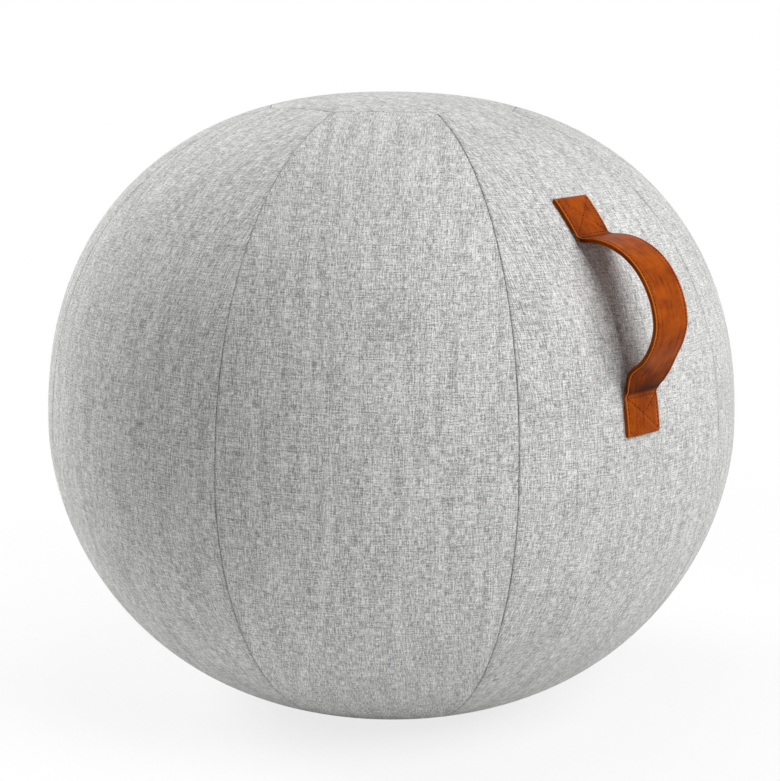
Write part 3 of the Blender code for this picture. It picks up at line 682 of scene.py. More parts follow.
def base_panel(columns=128, flat_rows=30, rim_rows=16):
    """Rings over the flat, then up the curve of the rim to the zip's slot."""
    azimuth = full_turn(columns)
    end = zip_line + ZIP_HALF_WIDTH
    flat_radius = np.linspace(*FLAT_SHARES, flat_rows)[:, None] * flat_rim
    rim = np.linspace(floor_arc, end + RIM_END, rim_rows)
    rim_arc = np.concatenate([rim, end + FROM_EDGE[5::-1]])[:, None]
    under_r, under_z = section_at(rim_arc, sewn_depth(rim_arc - end, DEEP_DIP))
    over_r, over_z = section_at(rim_arc, FABRIC)
    radius = np.concatenate([flat_radius, under_r]), np.concatenate([flat_radius, over_r])
    height = (
        np.concatenate([np.zeros_like(flat_radius), under_z]).clip(0),
        np.concatenate([np.full_like(flat_radius, FABRIC), over_z]),
    )
    points, quads, caps = closed_disc(*(turned(r, azimuth, z) for r, z in zip(radius, height)))
    reach = np.concatenate([flat_radius, flat_rim + floor_arc - rim_arc])
    made = piece(
        "base_disc", points, quads, base_cloth, slot="base_cloth", node="base_panel",
        uv=laid_flat(reach, azimuth), caps=caps,
    )
    side = 2 * float(reach.max()) + 2 * HEM
    return made, side


base, base_side = base_panel()
print("base disc cut from a square of", round(base_side, 3), "m;", len(base.data.polygons), "faces")

# %% Strips along the zip line
ZIP_HALF_ARC = math.radians(80)
zip_radius = float(np.interp(zip_line, CURVE_S, CURVE_R))
zip_first, zip_last = math.pi - ZIP_HALF_ARC, math.pi + ZIP_HALF_ARC
STOP_CLEAR, STRIP_CLEAR, STRIP_CROWN, NARROWEST_CUT = 0.0008, 0.0006, 0.0010, 0.010
TAPE_SLIT, TAPE_REACH, TAPE_DEPTH, TAPE = 0.0016, 0.0105, 0.0029, 0.0005


def strip(name, near, far, depth, thickness, ends, material, slot, node, crowned=0.0, columns=240, rows=9):
    """A band beside the zip line: across from near to far, along by azimuth, its edges dipping by crowned."""
    share = np.linspace(-1, 1, rows)[:, None]
    azimuth = np.linspace(*ends, columns)[None]
    arc = zip_line + (near + far) / 2 + share * (far - near) / 2
    outer = cover_point(arc, azimuth, depth + crowned * share**4)
    inner = cover_point(arc, azimuth, depth + thickness)
    cut = together(arc, azimuth * zip_radius).reshape(-1, 2)
    made = piece(name, *closed_sheet(outer, inner), material, slot=slot, node=node, uv=cut)
    flat = max(abs(far - near), NARROWEST_CUT), (ends[1] - ends[0]) * zip_radius
    return [round(v, 3) for v in flat]


margin = STOP_CLEAR / zip_radius
front = zip_last + margin, zip_first + 2 * math.pi - margin
strip_half = ZIP_HALF_WIDTH - STRIP_CLEAR
seam_strip = strip(
    "front_strip", -strip_half, strip_half, 0.0, FABRIC, front, cover_cloth, "cover_cloth",
    "base_seam_strip", crowned=STRIP_CROWN,
)
zip_ends = zip_first + margin, zip_last - margin
tapes = [
    strip(
        f"tape_{name}", side * TAPE_SLIT, side * TAPE_REACH, TAPE_DEPTH, TAPE, zip_ends, tape_cloth,
        "nylon", f"zip_tape_{name}",
    )
    for name, side in (("outer", -1), ("inner", 1))
]
print("front strip", seam_strip, "and zip tapes", tapes[0])

# %% [markdown]
# ## Inside the cover
#
# Nobody sees the bladder while the cover is on, but whoever opens the zip does. It is a smooth turned
# shell with a flat where it rests on the ring pocket and a hole for its valve. The foam ring and its
# pocket are turned from rounded sections. All three are one profile carried round the upright axis.

# %% Turned pieces


def turned_ring(name, profile, material, slot, node, columns=96):
    """A closed profile of radius and height carried round Z; UV runs along the profile and round the ring."""
    profile = np.asarray(profile, float)
    azimuth = full_turn(columns)
    radius, height = profile[:, :1], profile[:, 1:]
    along = run_length(profile)[:, None]
    cut = together(along, azimuth * float(radius.mean())).reshape(-1, 2)
    loops = turned(radius, azimuth, height)
    return piece(name, *closed_tube(loops), material, slot=slot, node=node, uv=cut)


def quadratic(start, corner, end, share):
    """A bend from start to end that leans to a corner: (1-t)^2 start + 2t(1-t) corner + t^2 end."""
    return (1 - share) ** 2 * start + 2 * share * (1 - share) * corner + share**2 * end


def rounded(corners, radius, steps=5):
    """A closed outline whose corners are quadratic bends that start a radius away from each corner."""
    corners = np.asarray(corners, float)
    to_last, to_next = np.roll(corners, 1, axis=0) - corners, np.roll(corners, -1, axis=0) - corners
    start = corners + unit(to_last) * radius
    end = corners + unit(to_next) * radius
    share = np.linspace(0, 1, steps)[None, :, None]
    return quadratic(start[:, None], corners[:, None], end[:, None], share).reshape(-1, 2)


GAP, POCKET = 0.0003, 0.0010
RING_INSET, RING_WIDTH, RING_HEIGHT, RING_EDGE = 0.0106, 0.022, 0.009, 0.0038
ring_middle = flat_rim - RING_INSET
ring_in, ring_out = ring_middle - RING_WIDTH / 2, ring_middle + RING_WIDTH / 2
ring_floor = FABRIC + GAP
ring_top = ring_floor + RING_HEIGHT
ring_outline = [(ring_out, ring_top), (ring_out, ring_floor), (ring_in, ring_floor), (ring_in, ring_top)]
ring = turned_ring("foam_ring", rounded(ring_outline, RING_EDGE), foam, "foam", "base_ring")
print("foam ring of", round(ring_middle * 2, 3), "m across its middle")

# %% Pocket and bladder
POCKET_EDGE, POCKET_TURN_IN = 0.00035, 0.006
sag = 4 * GAP
near, far, roof = ring_in - sag, ring_out + sag, ring_top + GAP
pocket_outline = [
    (far + POCKET, roof + POCKET), (far + POCKET, ring_floor + sag), (far, ring_floor + sag), (far, roof),
    (near, roof), (near, ring_floor), (near - POCKET, ring_floor), (near - POCKET, roof + POCKET),
]
pocket_profile = rounded(pocket_outline, POCKET_EDGE, 3)
pocket = turned_ring("pocket_cloth", pocket_profile, base_cloth, "base_cloth", "ring_pocket")
pocket_cut = 2 * math.pi * ring_middle, far - near + 2 * RING_HEIGHT + POCKET_TURN_IN

BLADDER_DEPTH, BLADDER_WALL, VALVE_HOLE, CROWN_HOLE, BLADDER_ROWS = 0.0068, 0.0015, 0.012, 0.0006, 120
rest = roof + POCKET + GAP
fine_arcs = np.linspace(0, floor_arc, 2000)
above_rest = fine_arcs[section_at(fine_arcs, BLADDER_DEPTH)[1] > rest]
bladder_arcs = np.linspace(0, above_rest[-1], BLADDER_ROWS)
skin_out = np.stack(section_at(bladder_arcs, BLADDER_DEPTH), axis=-1)
skin_in = np.stack(section_at(bladder_arcs, BLADDER_DEPTH + BLADDER_WALL), axis=-1)
skin_out[0, 0] = skin_in[0, 0] = CROWN_HOLE
skin_out[-1, 1], skin_in[-1, 1] = rest, rest + BLADDER_WALL
hole = [(VALVE_HOLE, rest), (VALVE_HOLE, rest + BLADDER_WALL)]
skin_profile = np.concatenate([skin_out, hole, skin_in[::-1]])
bladder = turned_ring("bladder_skin", skin_profile, vinyl, "vinyl", "bladder")
print("pocket cut", [round(v, 3) for v in pocket_cut], "and bladder:", len(bladder.data.polygons), "faces")

# %% [markdown]
# ## The leather handle
#
# One strap makes the handle: each end turns under itself into a double tab that is sewn to the cover, and
# between the tabs the strap stands up in an arch with a second layer sewn under it. Its middle line is
# drawn once in the plane of the handle, and a flat section with rounded edges is carried along it. Near
# its lower foot the arch leans towards the cover, as a strap does that is sewn on a little askew. The
# leather swells between its stitch lines and wrinkles at the feet. A bump could draw that, but light
# should also break on it, so the upper face itself is lifted.

# %% Lines of the handle
STRAP_WIDTH, LEATHER = 0.038, 0.0018
HANDLE_AZIMUTH, HANDLE_TURN = math.radians(-0.55), math.radians(3.06)
UPPER_FOLD_HEIGHT, LOWER_FOLD_HEIGHT = 0.4641, 0.3396
UPPER_TAB_LENGTH, LOWER_TAB_LENGTH = 0.0397, 0.0334
ARCH_RISE, TUCKED, FOLD_REACH, FOLD_SHARE, FOLD_CLEAR = 0.0592, 0.010, 0.0022, 0.3, 0.0005
FOLD_POINTS, TURN_POINTS, OVER_POINTS, ARCH_POINTS = 15, 11, 56, 181
LEAN, LEAN_PIVOT, LEAN_PLACE, LEAN_WIDTH, LEAN_CLEAR = 0.20, 0.0116, 0.019, 0.014, 0.008
ARCH_KNOTS = np.array([
    (-0.904, 0.299), (-0.740, 0.598), (-0.545, 0.804), (-0.300, 0.943), (-0.030, 1.000),
    (0.196, 0.983), (0.365, 0.924), (0.520, 0.799), (0.696, 0.554), (0.925, 0.140),
])
upper_fold, lower_fold = arc_at_height(UPPER_FOLD_HEIGHT), arc_at_height(LOWER_FOLD_HEIGHT)
handle_middle = (upper_fold + lower_fold) / 2
over_depth = -(2 * GAP + LEATHER * 1.5)


def section_line(arcs, depth):
    """Points of the half section at arc lengths and one depth."""
    return np.stack(section_at(np.asarray(arcs, float), depth), axis=-1)


def smooth_through(knots, count):
    """A smooth line through knots: cubic pieces, each slope taken from the neighbouring knots."""
    lengths = run_length(knots)
    slopes = np.gradient(knots, lengths, axis=0)
    places = np.linspace(0, lengths[-1], count)
    index = np.searchsorted(lengths, places, side="right").clip(1, len(lengths) - 1) - 1
    span = np.diff(lengths)[index][:, None]
    t = (places - lengths[index])[:, None] / span
    ends = (1 + 2 * t) * (1 - t) ** 2 * knots[index] + t**2 * (3 - 2 * t) * knots[index + 1]
    return ends + span * t * (1 - t) * ((1 - t) * slopes[index] - t * slopes[index + 1])


def over_line(line, up):
    """Both coordinates of points that stand so far over a plane line, along its slope turned by a quarter."""
    slope = np.gradient(line, axis=0)
    normal = unit(np.stack([-slope[:, 1], slope[:, 0]], axis=-1))
    return [line[:, i, None] + normal[:, i, None] * up for i in (0, 1)]


def tab_line(fold, reach, count=20):
    """From the tucked end along the under layer, round a half circle at the tip, and back to the fold."""
    lengths = np.linspace(fold + math.copysign(TUCKED, reach), fold + reach, count)
    back = np.linspace(fold + reach, fold + math.copysign(FOLD_REACH + FOLD_CLEAR, reach), OVER_POINTS)
    below, above = section_line(lengths, -(GAP + LEATHER / 2)), section_line(back, over_depth)
    centre, spoke = (below[-1] + above[0]) / 2, (above[0] - below[-1]) / 2
    ahead = below[-1] - below[-2]
    ahead = ahead * np.linalg.norm(spoke) / np.linalg.norm(ahead)
    turns = np.linspace(-math.pi / 2, math.pi / 2, TURN_POINTS + 2)[1:-1, None]
    return np.concatenate([below, centre + spoke * np.sin(turns) + ahead * np.cos(turns), above])


print("handle folds", round(upper_fold, 4), "and", round(lower_fold, 4), "m from the crown along the cover")

# %% Middle lines of strap and lining
feet = section_line([upper_fold, lower_fold], over_depth)
chord = (feet[1] - feet[0]) / 2
rise = np.array([-chord[1], chord[0]]) * ARCH_RISE / np.linalg.norm(chord)
knots = feet.mean(axis=0) + ARCH_KNOTS @ np.stack([chord, rise])
roots = feet + FOLD_SHARE * (knots[[0, -1]] - feet)
arch = smooth_through(np.concatenate([roots[:1], knots, roots[1:]]), ARCH_POINTS)
beside = section_line([upper_fold - FOLD_REACH, lower_fold + FOLD_REACH], over_depth)
let_go = np.linspace(1, 0, FOLD_POINTS)
bent = 1 - let_go[:, None]
bends = quadratic(beside[0], feet[0], arch[0], bent), quadratic(arch[-1], feet[1], beside[1], bent)
arch_line = np.concatenate([bends[0], arch[1:-1], bends[1]])
arch_hug = np.concatenate([let_go, np.zeros(len(arch) - 2), let_go[::-1]])
tabs = tab_line(upper_fold, -UPPER_TAB_LENGTH), tab_line(lower_fold, LOWER_TAB_LENGTH)[::-1]
strap_line = np.concatenate([tabs[0], arch_line, tabs[1]])
strap_hug = np.concatenate([np.ones(len(tabs[0])), arch_hug, np.ones(len(tabs[1]))])
from_foot = np.linalg.norm(arch_line - feet[1], axis=1)
off_fold = 1 - np.exp(-((from_foot / LEAN_CLEAR) ** 2))
arch_lean = LEAN * off_fold * np.exp(-(((from_foot - LEAN_PLACE) / LEAN_WIDTH) ** 2))
strap_lean = np.concatenate([np.zeros(len(tabs[0])), arch_lean, np.zeros(len(tabs[1]))])
lining_line = np.concatenate(over_line(arch_line, -(LEATHER + GAP)), axis=1)
curve = np.stack([CURVE_R, CURVE_Z], axis=-1)
clear_of_cover = np.linalg.norm(lining_line[:, None] - curve, axis=-1).min(axis=1)
lining_line, lining_lean = (row[clear_of_cover > LEATHER + GAP] for row in (lining_line, arch_lean))
lining_hug = np.zeros(len(lining_line))
print("strap of", round(float(run_length(strap_line)[-1]), 3), "m along its middle")

# %% Strap and lining
PUFF, PUFF_REACH, ARCH_PUFF, STITCH_INSET = 0.00055, 0.0016, 0.6, 0.0021
WRINKLE, WRINKLE_TURN, CREASE_REACH, CREASE_START = 0.00022, 1.1, (0.012, 0.020), 0.003
STRAP_EDGE, BURNISHED, SHADED_EDGE_SHARE, FACE_POINTS, FACE_SHARE = 0.0007, 0.0022, 0.35, 45, 0.985
CROSS_SLANT, ARCH_LENGTH = 0.7, ARCH_RISE * 3
STITCH_ROW = STRAP_WIDTH / 2 - STITCH_INSET


def askew(points):
    """Turns points about the cover's normal at the handle's middle, then about Z to the handle's azimuth."""
    pivot = cover_point(handle_middle, 0.0, 0.0)
    normal = pivot - cover_point(handle_middle, 0.0, 1.0)
    turn = np.array(Matrix.Rotation(HANDLE_TURN, 3, Vector(normal)))
    return ((points - pivot) @ turn.T + pivot) @ np.array(Matrix.Rotation(HANDLE_AZIMUTH, 3, "Z")).T


def on_strap(line, hug, across, up, lean=0.0):
    """The line lifted by up + lean * (across - pivot) along its normal.

    Where it hugs the cover, a point is also drawn in by r - sqrt(r^2 - across^2).
    """
    radius, height = over_line(line, up + np.reshape(lean, (-1, 1)) * (across - LEAN_PIVOT))
    drawn_in = hug[:, None] * (radius - np.sqrt(radius**2 - across**2))
    return askew(together(across, drawn_in - radius, height))


def strap_section(half_width, half_thickness, bevel):
    """Points round a flat strap's section with bent edges, and how near each is to the upper edge."""
    corners = np.array([(1, 1), (1, -1), (-1, -1), (-1, 1)]) * (half_width, half_thickness)
    outline = rounded(corners, bevel, 5).reshape(4, 5, 2)
    inside = np.linspace(FACE_SHARE, -FACE_SHARE, FACE_POINTS) * (half_width - 2 * bevel)
    under, over = together(inside[::4], -half_thickness), together(inside[::-1], half_thickness)
    section = np.concatenate([outline[0], outline[1], under, outline[2], outline[3], over])
    # Painted shade: below the upper face the edge mark is cut to a share, so the lower half of the edge is
    # darker.
    lit = (section[:, 1] / half_thickness).clip(SHADED_EDGE_SHARE, 1)
    return section, (1 - (half_width - np.abs(section[:, 0])) / BURNISHED).clip(0, 1) * lit


def creased(line):
    """How near a fold, exp(-distance from a fold / reach), arch only; it darkens partly as wear, partly as
    painted shade.
    """
    distance = np.linalg.norm(line[:, None] - feet, axis=-1)
    off_cover = np.linalg.norm(line[:, None] - curve, axis=-1).min(axis=1)
    return np.exp(-distance / CREASE_REACH).max(axis=1) * (off_cover / CREASE_START - 1).clip(0, 1)


def puffed(across):
    """Lift of the strap's upper face: nought at a stitch line, then p * (1 - exp(-(distance / w)^2))."""
    across = np.abs(across)[None]
    tab_share = np.linspace(-1, 1, OVER_POINTS)[:, None]
    tab_half = (UPPER_TAB_LENGTH + LOWER_TAB_LENGTH) / 4
    from_rows = np.abs(STITCH_ROW - across)
    from_cross = np.abs(across / STITCH_ROW - np.abs(tab_share)) * STITCH_ROW * CROSS_SLANT
    from_ends = np.abs(1 - np.abs(tab_share)) * tab_half
    on_tab = np.minimum(np.minimum(from_rows, from_cross), from_ends)
    along = np.linspace(0, 1, len(arch_line))[:, None]
    on_arch = np.minimum(from_rows, np.minimum(along, 1 - along) * ARCH_LENGTH)
    tucked = np.zeros((len(tabs[0]) - OVER_POINTS, across.shape[1]))
    tab, middle = (PUFF * (1 - np.exp(-((part / PUFF_REACH) ** 2))) for part in (on_tab, on_arch))
    bent = creased(arch_line)
    wrinkle = WRINKLE * bent * np.sin(WRINKLE_TURN * np.cumsum(bent))
    return np.concatenate([tucked, tab, middle * ARCH_PUFF + wrinkle[:, None], tab[::-1], tucked])


def leather_strap(name, line, hug, lean, node, burnish_and_shade, lift=None):
    """The section carried along a middle line, with its flat cut as UV and its edges marked."""
    section, near_edge = strap_section(STRAP_WIDTH / 2, LEATHER / 2, STRAP_EDGE)
    count = len(section)
    upper = (section[None, :, 1] / (LEATHER / 2)).clip(0, 1)
    up = section[None, :, 1] + (0 if lift is None else lift(section[:, 0]) * upper)
    points = on_strap(line, hug, section[None, :, 0], up, lean).reshape(-1, 3)
    cut = together(run_length(section)[None], run_length(line)[:, None]).reshape(-1, 2)
    return piece(
        name, points, grid_quads(len(line), count, around=True), leather, slot="handle_leather", node=node,
        uv=cut, caps=end_faces(len(line), count),
        marks={"edge": near_edge * burnish_and_shade, "crease_wear_and_shade": np.repeat(creased(line), count)},
    )


strap = leather_strap("strap_leather", strap_line, strap_hug, strap_lean, "handle_strap", 1.0, puffed)
# The lining's edge mark is scaled to 0.6: painted shade, as the lining lies under the strap.
lining = leather_strap("lining_leather", lining_line, lining_hug, lining_lean, "handle_lining", 0.6)
print("strap and lining:", len(strap.data.polygons), "and", len(lining.data.polygons), "faces")

# %% [markdown]
# ## Stitching
#
# Two rows of stitches hold strap and lining together, and each tab has the box with a cross that spreads
# a pull over the cloth. Every stitch is one small pill of thread with pointed ends, half sunk in the
# leather. All of them are placed at once: an array of middles, directions and normals carries the same
# few points to every place.

# %% One stitch and the places of many
STITCH_PITCH, STITCH_LENGTH, THREAD_RADIUS, THREAD_SUNK = 0.0031, 0.0024, 0.00046, 0.00005
STATIONS, SIDES, POINTED, FLATTENED, NORMAL_LIFT = 6, 6, 0.92, 0.8, 1.5
ARCH_START, LINING_START, BOX_START, CROSS_START = 0.001, 0.003, 0.0012, 0.003
TIP_MARGIN, FOLD_MARGIN = 0.002, 0.0008
skin = LEATHER / 2 - THREAD_SUNK


def pill():
    """A stitch along its own X: radius sqrt(1 - p x^2), a little flattened."""
    along = np.linspace(-1, 1, STATIONS)[:, None]
    swell = np.sqrt(1 - POINTED * along**2) * THREAD_RADIUS
    turn = full_turn(SIDES)
    points = along * STITCH_LENGTH / 2, swell * np.cos(turn), swell * np.sin(turn) * FLATTENED
    return together(*points).reshape(-1, 3)


def sewn_run(points, lifted, inset):
    """Middles, directions and normals at every pitch along a line, from it and the same line lifted."""
    length = run_length(points)
    places = np.linspace(inset, length[-1] - inset, max(2, int((length[-1] - 2 * inset) / STITCH_PITCH)))
    rows = points, np.gradient(points, length, axis=0), lifted - points
    return [np.stack([np.interp(places, length, row[:, i]) for i in range(3)], axis=-1) for row in rows]


def lengthwise(line, hug, across, up, inset, lean=0.0):
    """A run along a line of the strap; across may change from point to point."""
    across = np.broadcast_to(across, len(line))[:, None]
    lifts = up, up * NORMAL_LIFT
    return sewn_run(*(on_strap(line, hug, across, lift, lean)[:, 0] for lift in lifts), inset)


def crosswise(arc, inset):
    """A run across a tab at one arc length."""
    line = section_line(arc + np.array([-1e-4, 0, 1e-4]), over_depth)
    across = np.linspace(-STITCH_ROW, STITCH_ROW, 30)[None]
    lifts = skin, skin * NORMAL_LIFT
    return sewn_run(*(on_strap(line, np.ones(3), across, lift)[1] for lift in lifts), inset)


runs = []
sweep = np.linspace(-STITCH_ROW, STITCH_ROW, 40)
for side in (-1, 1):
    runs.append(lengthwise(arch_line, arch_hug, side * STITCH_ROW, skin, ARCH_START, arch_lean))
    runs.append(lengthwise(lining_line, lining_hug, side * STITCH_ROW, -skin, LINING_START, lining_lean))
tab_ends = [
    (upper_fold - UPPER_TAB_LENGTH + TIP_MARGIN, upper_fold - FOLD_REACH - FOLD_MARGIN),
    (lower_fold + FOLD_REACH + FOLD_MARGIN, lower_fold + LOWER_TAB_LENGTH - TIP_MARGIN),
]
for first, last in tab_ends:
    tab = section_line(np.linspace(first, last, 40), over_depth)
    for side in (-1, 1):
        runs.append(lengthwise(tab, np.ones(40), side * STITCH_ROW, skin, BOX_START))
        runs.append(lengthwise(tab, np.ones(40), side * sweep, skin, CROSS_START))
    runs.extend(crosswise(arc, BOX_START) for arc in (first, last))
print("sewn runs:", len(runs), "with", sum(len(run[0]) for run in runs), "stitches")

# %% Stitches
middles, directions, normals = (np.concatenate(rows) for rows in zip(*runs))
directions = unit(directions)
sideways = unit(np.cross(normals, directions))
axes = np.stack([directions, sideways, np.cross(directions, sideways)], axis=1)
stitch_points = middles[:, None] + np.einsum("pk,nkc->npc", pill(), axes)
first_points = (np.arange(len(middles)) * STATIONS * SIDES)[:, None, None]
stitch_quads = (grid_quads(STATIONS, SIDES, around=True)[None] + first_points).reshape(-1, 4)
tip = np.arange(SIDES)
tips = (np.stack([tip, (STATIONS - 1) * SIDES + tip[::-1]])[None] + first_points).reshape(-1, SIDES)
stitches = piece(
    "handle_stitching", stitch_points.reshape(-1, 3), stitch_quads, thread, slot="handle_leather",
    caps=tips.tolist(),
)
print("stitching:", len(stitches.data.polygons), "faces")

# %% [markdown]
# ## Patches behind the tabs
#
# Stitches alone would tear out of the cloth, so a square of firm webbing lies behind each tab. It is a
# small sheet that follows the cover from the inside, turned by the same small angle as the handle.

# %% Backing patches
PATCH_WIDTH, PATCH_MARGIN, PATCH, PATCH_DEPTH, PATCH_ROWS = 0.048, 0.005, 0.0010, 0.0047, 25


def backing_patch(name, fold, reach):
    """Grid under the cover, along a tab past both its ends and across it, turned with the handle."""
    margin = math.copysign(PATCH_MARGIN, reach)
    along = np.linspace(fold - margin, fold + reach + margin, PATCH_ROWS)[:, None] - handle_middle
    across = PATCH_WIDTH / 2 * np.linspace(-1, 1, PATCH_ROWS)[None]
    arcs = handle_middle + along * math.cos(HANDLE_TURN) - across * math.sin(HANDLE_TURN)
    sideways = along * math.sin(HANDLE_TURN) + across * math.cos(HANDLE_TURN)
    azimuth = HANDLE_AZIMUTH + sideways / section_at(arcs, 0.0)[0]
    faces = (cover_point(arcs, azimuth, depth) for depth in (PATCH_DEPTH, PATCH_DEPTH + PATCH))
    cut = together(across, along).reshape(-1, 2)
    made = piece(
        f"{name}_patch", *closed_sheet(*faces), webbing, slot="webbing", node=f"{name}_backing_patch", uv=cut
    )
    return made


patches = [
    backing_patch("upper", upper_fold, -UPPER_TAB_LENGTH),
    backing_patch("lower", lower_fold, LOWER_TAB_LENGTH),
]
print("patches:", [p.name for p in patches])

# %% [markdown]
# ## Slider and pull of the zip
#
# A zip slider is a small casting: two plates on a post, and a bent bridge that holds the pull. Castings
# are tumbled until every edge is round. A Bevel modifier could round square blocks; here each plate is a
# stack of outlines that draw in by a quarter circle at both faces, and the bridge is a flat wire along a
# squarish arch.

# %% Slider
SLIDER_LENGTH, SLIDER_WIDTH, SLIDER_PLATE = 0.0110, 0.0084, 0.0011
SLIDER_LIFT, SLIDER_INNER_DEPTH, STOP_LENGTH = 0.0005, 0.0038, 0.0025
POST_WIDTH, POST_START, POST_END = 0.0022, 0.0015, 0.0045
BAIL_WIDTH, BAIL_WIRE, BAIL_GAP_LENGTH, BAIL_GAP_HEIGHT, BAIL_SUNK = 0.0016, 0.0010, 0.0044, 0.0020, 0.0003
PLATE_CORNER, PLATE_EDGE, POST_CORNER, POST_EDGE = 0.0012, 0.0004, 0.0006, 0.0001
plate_top = SLIDER_LIFT + SLIDER_PLATE
slider_azimuth = zip_last - (STOP_LENGTH + 2 * STOP_CLEAR + SLIDER_LENGTH / 2) / zip_radius
slider_origin = cover_point(zip_line, slider_azimuth, 0.0)
slider_out = slider_origin - cover_point(zip_line, slider_azimuth, 1.0)
slider_along = np.array([math.cos(slider_azimuth), math.sin(slider_azimuth), 0.0])
slider_axes = np.stack([np.cross(slider_along, slider_out), slider_along, slider_out])


def tumbled_plate(outline, low, high, edge):
    """A stack of outlines from low to high, drawn in by a quarter circle at both faces."""
    turn = np.radians([0, 30, 60, 90])
    inset = edge * np.concatenate([1 - np.sin(turn), 1 - np.sin(turn[::-1])])[:, None, None]
    height = np.concatenate([low + edge * (1 - np.cos(turn)), high - edge * (1 - np.cos(turn[::-1]))])
    middle = outline.mean(axis=0)
    reach = np.linalg.norm(outline - middle, axis=1)[None, :, None]
    flat = middle + (outline - middle)[None] * (1 - inset / reach)
    loops = together(flat[..., 0], flat[..., 1], height[:, None])
    size = loops.shape[:2]
    return loops.reshape(-1, 3), grid_quads(*size, around=True), end_faces(*size)


def bridge(count=25, sides=12):
    """A flat wire along the arch y = a * cos(t)^(1/2), z = b * sin(t)^(1/2), its feet sunk into the plate."""
    turn = np.linspace(math.pi, 0, count)
    reach, rise = (BAIL_GAP_LENGTH + BAIL_WIRE) / 2, BAIL_GAP_HEIGHT + BAIL_WIRE / 2
    along = np.sign(np.cos(turn)) * np.sqrt(np.abs(np.cos(turn))) * reach
    line = np.stack([along, plate_top + np.sqrt(np.sin(turn).clip(0)) * rise], axis=-1)
    line[[0, -1], 1] -= BAIL_SUNK
    across, up = np.cos(full_turn(sides)) * BAIL_WIDTH / 2, np.sin(full_turn(sides)) * BAIL_WIRE / 2
    loops = together(across, *over_line(line, up))
    return loops.reshape(-1, 3), grid_quads(count, sides, around=True), end_faces(count, sides)


def joined(*shells):
    """Points, quads and caps of several closed shells together, each turned to face outwards."""
    all_points, all_quads, all_caps, start = [], [], [], 0
    for points, quads, caps in shells:
        step = -1 if inside_out(points, quads) else 1
        all_points.append(points)
        all_quads.append((quads + start)[:, ::step])
        all_caps.extend([start + i for i in cap][::step] for cap in caps)
        start += len(points)
    return np.concatenate(all_points), np.concatenate(all_quads), all_caps


shield = np.array([(-0.6, -1), (0.6, -1), (1, -0.1), (1, 0.6), (0.7, 1), (-0.7, 1), (-1, 0.6), (-1, -0.1)])
shield = rounded(shield * (SLIDER_WIDTH / 2, SLIDER_LENGTH / 2), PLATE_CORNER, 6)
post = np.array([(1, POST_START), (1, POST_END), (-1, POST_END), (-1, POST_START)]) * (POST_WIDTH / 2, 1)
sunk = SLIDER_PLATE / 3
points, quads, caps = joined(
    tumbled_plate(shield, SLIDER_LIFT, plate_top, PLATE_EDGE),
    tumbled_plate(shield, -SLIDER_INNER_DEPTH - SLIDER_PLATE, -SLIDER_INNER_DEPTH, PLATE_EDGE),
    tumbled_plate(rounded(post, POST_CORNER), -SLIDER_INNER_DEPTH - sunk, SLIDER_LIFT + sunk, POST_EDGE),
    bridge(),
)
slider = piece(
    "slider_cast", slider_origin + points @ slider_axes, quads, zip_metal, "zip_slider", "zip_metal",
    "zip_slider", caps=caps,
)
print("slider:", len(slider.data.polygons), "faces")

# %% Pull
PULL_LENGTH, PULL_WIDTH, PULL_TIP_WIDTH, PULL_THICKNESS = 0.0150, 0.0068, 0.0048, 0.0010
PULL_BAR, PULL_EYE_WIDTH, PULL_EYE_LENGTH = 0.0010, 0.0028, 0.0037
PULL_CORNER, EYE_CORNER = 0.0009, 0.0006
bar, eye, eye_end = PULL_BAR / 2, PULL_EYE_WIDTH / 2, PULL_BAR / 2 + PULL_EYE_LENGTH
rail, shoulder, tip = eye + PULL_BAR, eye_end + PULL_WIDTH / 2, PULL_TIP_WIDTH / 2
eye_middle = np.array([0.0, (bar + eye_end) / 2])


def seen_from_eye(corners, radius, angles):
    """Distance from the middle of the eye to a rounded outline, in every direction."""
    outline = rounded(corners, radius, 6) - eye_middle
    around, distance = np.arctan2(outline[:, 1], outline[:, 0]), np.hypot(*outline.T)
    return np.interp(angles, around, distance, period=2 * math.pi)


def pull_plate(count=96, edge=0.00035):
    """Loops round the eye: over the outer edge from the top down, then over the eye's edge back up."""
    angles = np.linspace(-math.pi, math.pi, count, endpoint=False)
    outside = seen_from_eye([
        (-rail, -bar), (rail, -bar), (rail, eye_end), (PULL_WIDTH / 2, shoulder),
        (tip, PULL_LENGTH), (-tip, PULL_LENGTH), (-PULL_WIDTH / 2, shoulder), (-rail, eye_end),
    ], PULL_CORNER, angles)
    hole = seen_from_eye([(-eye, bar), (eye, bar), (eye, eye_end), (-eye, eye_end)], EYE_CORNER, angles)
    turn = np.radians([90, 60, 30, 0, 0, -30, -60, -90])[:, None]
    drawn_in, side = edge * (1 - np.cos(turn)), np.sign([1, 1, 1, 1, -1, -1, -1, -1])[:, None]
    height = side * (PULL_THICKNESS / 2 - edge) + edge * np.sin(turn)
    radius = np.concatenate([outside - drawn_in, (hole + drawn_in)[::-1]])
    height = np.broadcast_to(np.concatenate([height, height[::-1]]), radius.shape)
    flat = eye_middle + radius[..., None] * np.stack([np.cos(angles), np.sin(angles)], axis=-1)
    return closed_tube(np.concatenate([flat, height[..., None]], axis=-1))


points, quads = pull_plate()
points = points + (0, 0, plate_top + BAIL_GAP_HEIGHT / 2)
pull = piece(
    "pull_cast", slider_origin + points @ slider_axes, quads, zip_metal, "zip_pull", "zip_metal", "zip_pull"
)
print("pull:", len(pull.data.polygons), "faces")

# %% [markdown]
# ## Pieces that stay as they are
#
# The zip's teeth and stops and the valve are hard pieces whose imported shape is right. They keep it and
# only get their finish.

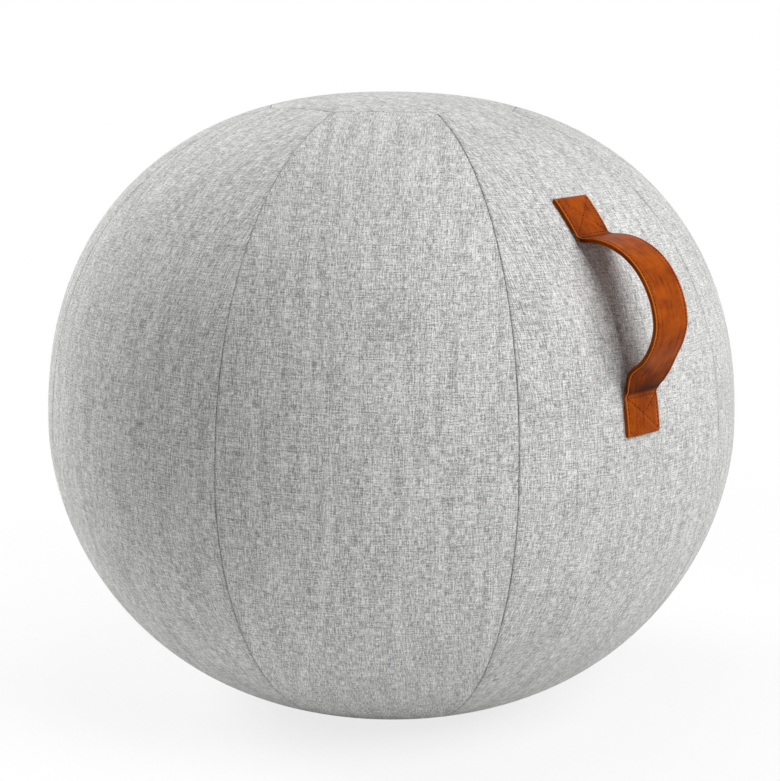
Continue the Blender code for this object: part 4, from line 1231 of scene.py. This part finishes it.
# %% Carried-over pieces
for name, material in (
    ("zip_teeth_outer", nylon), ("zip_teeth_inner", nylon), ("valve_plug", nylon), ("valve_seat", vinyl),
    ("zip_top_stop_outer", zip_metal), ("zip_top_stop_inner", zip_metal), ("zip_bottom_stop", zip_metal),
):
    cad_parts[name].material_slots[0].material = material
print("finished the zip and the valve")

# %% [markdown]
# ## Floor and light
#
# A cut-out picture has a white ground. The floor is white where the camera looks at it, with a share of
# plain white paint mixed in near the ball, so that it keeps its soft shadow. A broad key lamp stands to
# the right of the camera and a weak low one further round on that side. Another behind on the left
# brightens that edge, a weak one hangs overhead, and the white surroundings fill the rest.

# %% Floor
FLOOR_HALF, FLOOR_DROP, FLOOR_WHITE = 9.0, 0.0004, (0.93, 0.93, 0.93, 1)
SEEN_RAYS = "Is Camera Ray", "Is Glossy Ray", "Is Transmission Ray"
GLOW_NEAR, GLOW_FAR, GLOW_SHARE = 0.35, 1.1, 0.80
floor_finish = Finish("floor_white", Base_Color=FLOOR_WHITE, Roughness=0.9)
tree = floor_finish.tree


def seen_directly(start):
    """One for rays that the eye, a gloss or a clear body sends, nought for rays of light."""
    eye, gloss, clear = (start.node("ShaderNodeLightPath", output=name) for name in SEEN_RAYS)
    return (eye + gloss + clear).span(0.0, 1.0)


glow = tree.nodes.new("ShaderNodeEmission")
glow.inputs["Color"].default_value = (1, 1, 1, 1)
blend = tree.nodes.new("ShaderNodeMixShader")
place = floor_finish.place()
away = place.node("ShaderNodeVectorMath", {"operation": "LENGTH"}, {0: place}, output=1)
share = seen_directly(floor_finish.start) * away.span(GLOW_NEAR, GLOW_FAR, GLOW_SHARE, 1.0)
tree.links.new(share.socket, blend.inputs[0])
tree.links.new(floor_finish.shader.outputs[0], blend.inputs[1])
tree.links.new(glow.outputs[0], blend.inputs[2])
tree.links.new(blend.outputs[0], tree.nodes["Material Output"].inputs[0])
floor_mesh = bpy.data.meshes.new("floor")
floor_corners = np.array([(-1, -1, 0), (1, -1, 0), (1, 1, 0), (-1, 1, 0)]) * FLOOR_HALF - (0, 0, FLOOR_DROP)
floor_mesh.from_pydata(floor_corners.tolist(), [], [(0, 1, 2, 3)])
floor_mesh.materials.append(floor_finish.material)
floor = bpy.data.objects.new("floor", floor_mesh)
scene.collection.objects.link(floor)
print("floor", [round(v, 2) for v in floor.dimensions])

# %% World and lamps
world = bpy.data.worlds.new("studio")
world.use_nodes = True
scene.world = world
sky = world.node_tree
surround = sky.nodes["Background"]
surround.inputs["Color"].default_value = (1, 1, 1, 1)
AMBIENT = 0.07
level = seen_directly(Strand(sky)).span(0.0, 1.0, AMBIENT, 1.0)
sky.links.new(level.socket, surround.inputs["Strength"])


def soft_lamp(name, azimuth, elevation, distance, size, power):
    """A square lamp at an azimuth, elevation and distance from the ball's middle, turned towards it."""
    lamp = bpy.data.lights.new(name, "AREA")
    lamp.shape, lamp.size, lamp.energy = "SQUARE", size, power
    made = bpy.data.objects.new(name, lamp)
    made.matrix_world = looking_at_ball(azimuth, elevation, distance)
    made.visible_camera = False
    scene.collection.objects.link(made)
    return made


lamps = [
    soft_lamp("key_lamp", 7, 37, 2.6, 1.5, 48.5),
    soft_lamp("side_lamp", 78, 0, 2.6, 1.6, 21),
    soft_lamp("edge_lamp", -158, 22, 2.6, 1.4, 60),
    soft_lamp("top_lamp", 0, 84, 2.2, 1.4, 15.5),
]
print("lamps:", [(lamp.name, lamp.data.energy) for lamp in lamps], "surroundings", AMBIENT)
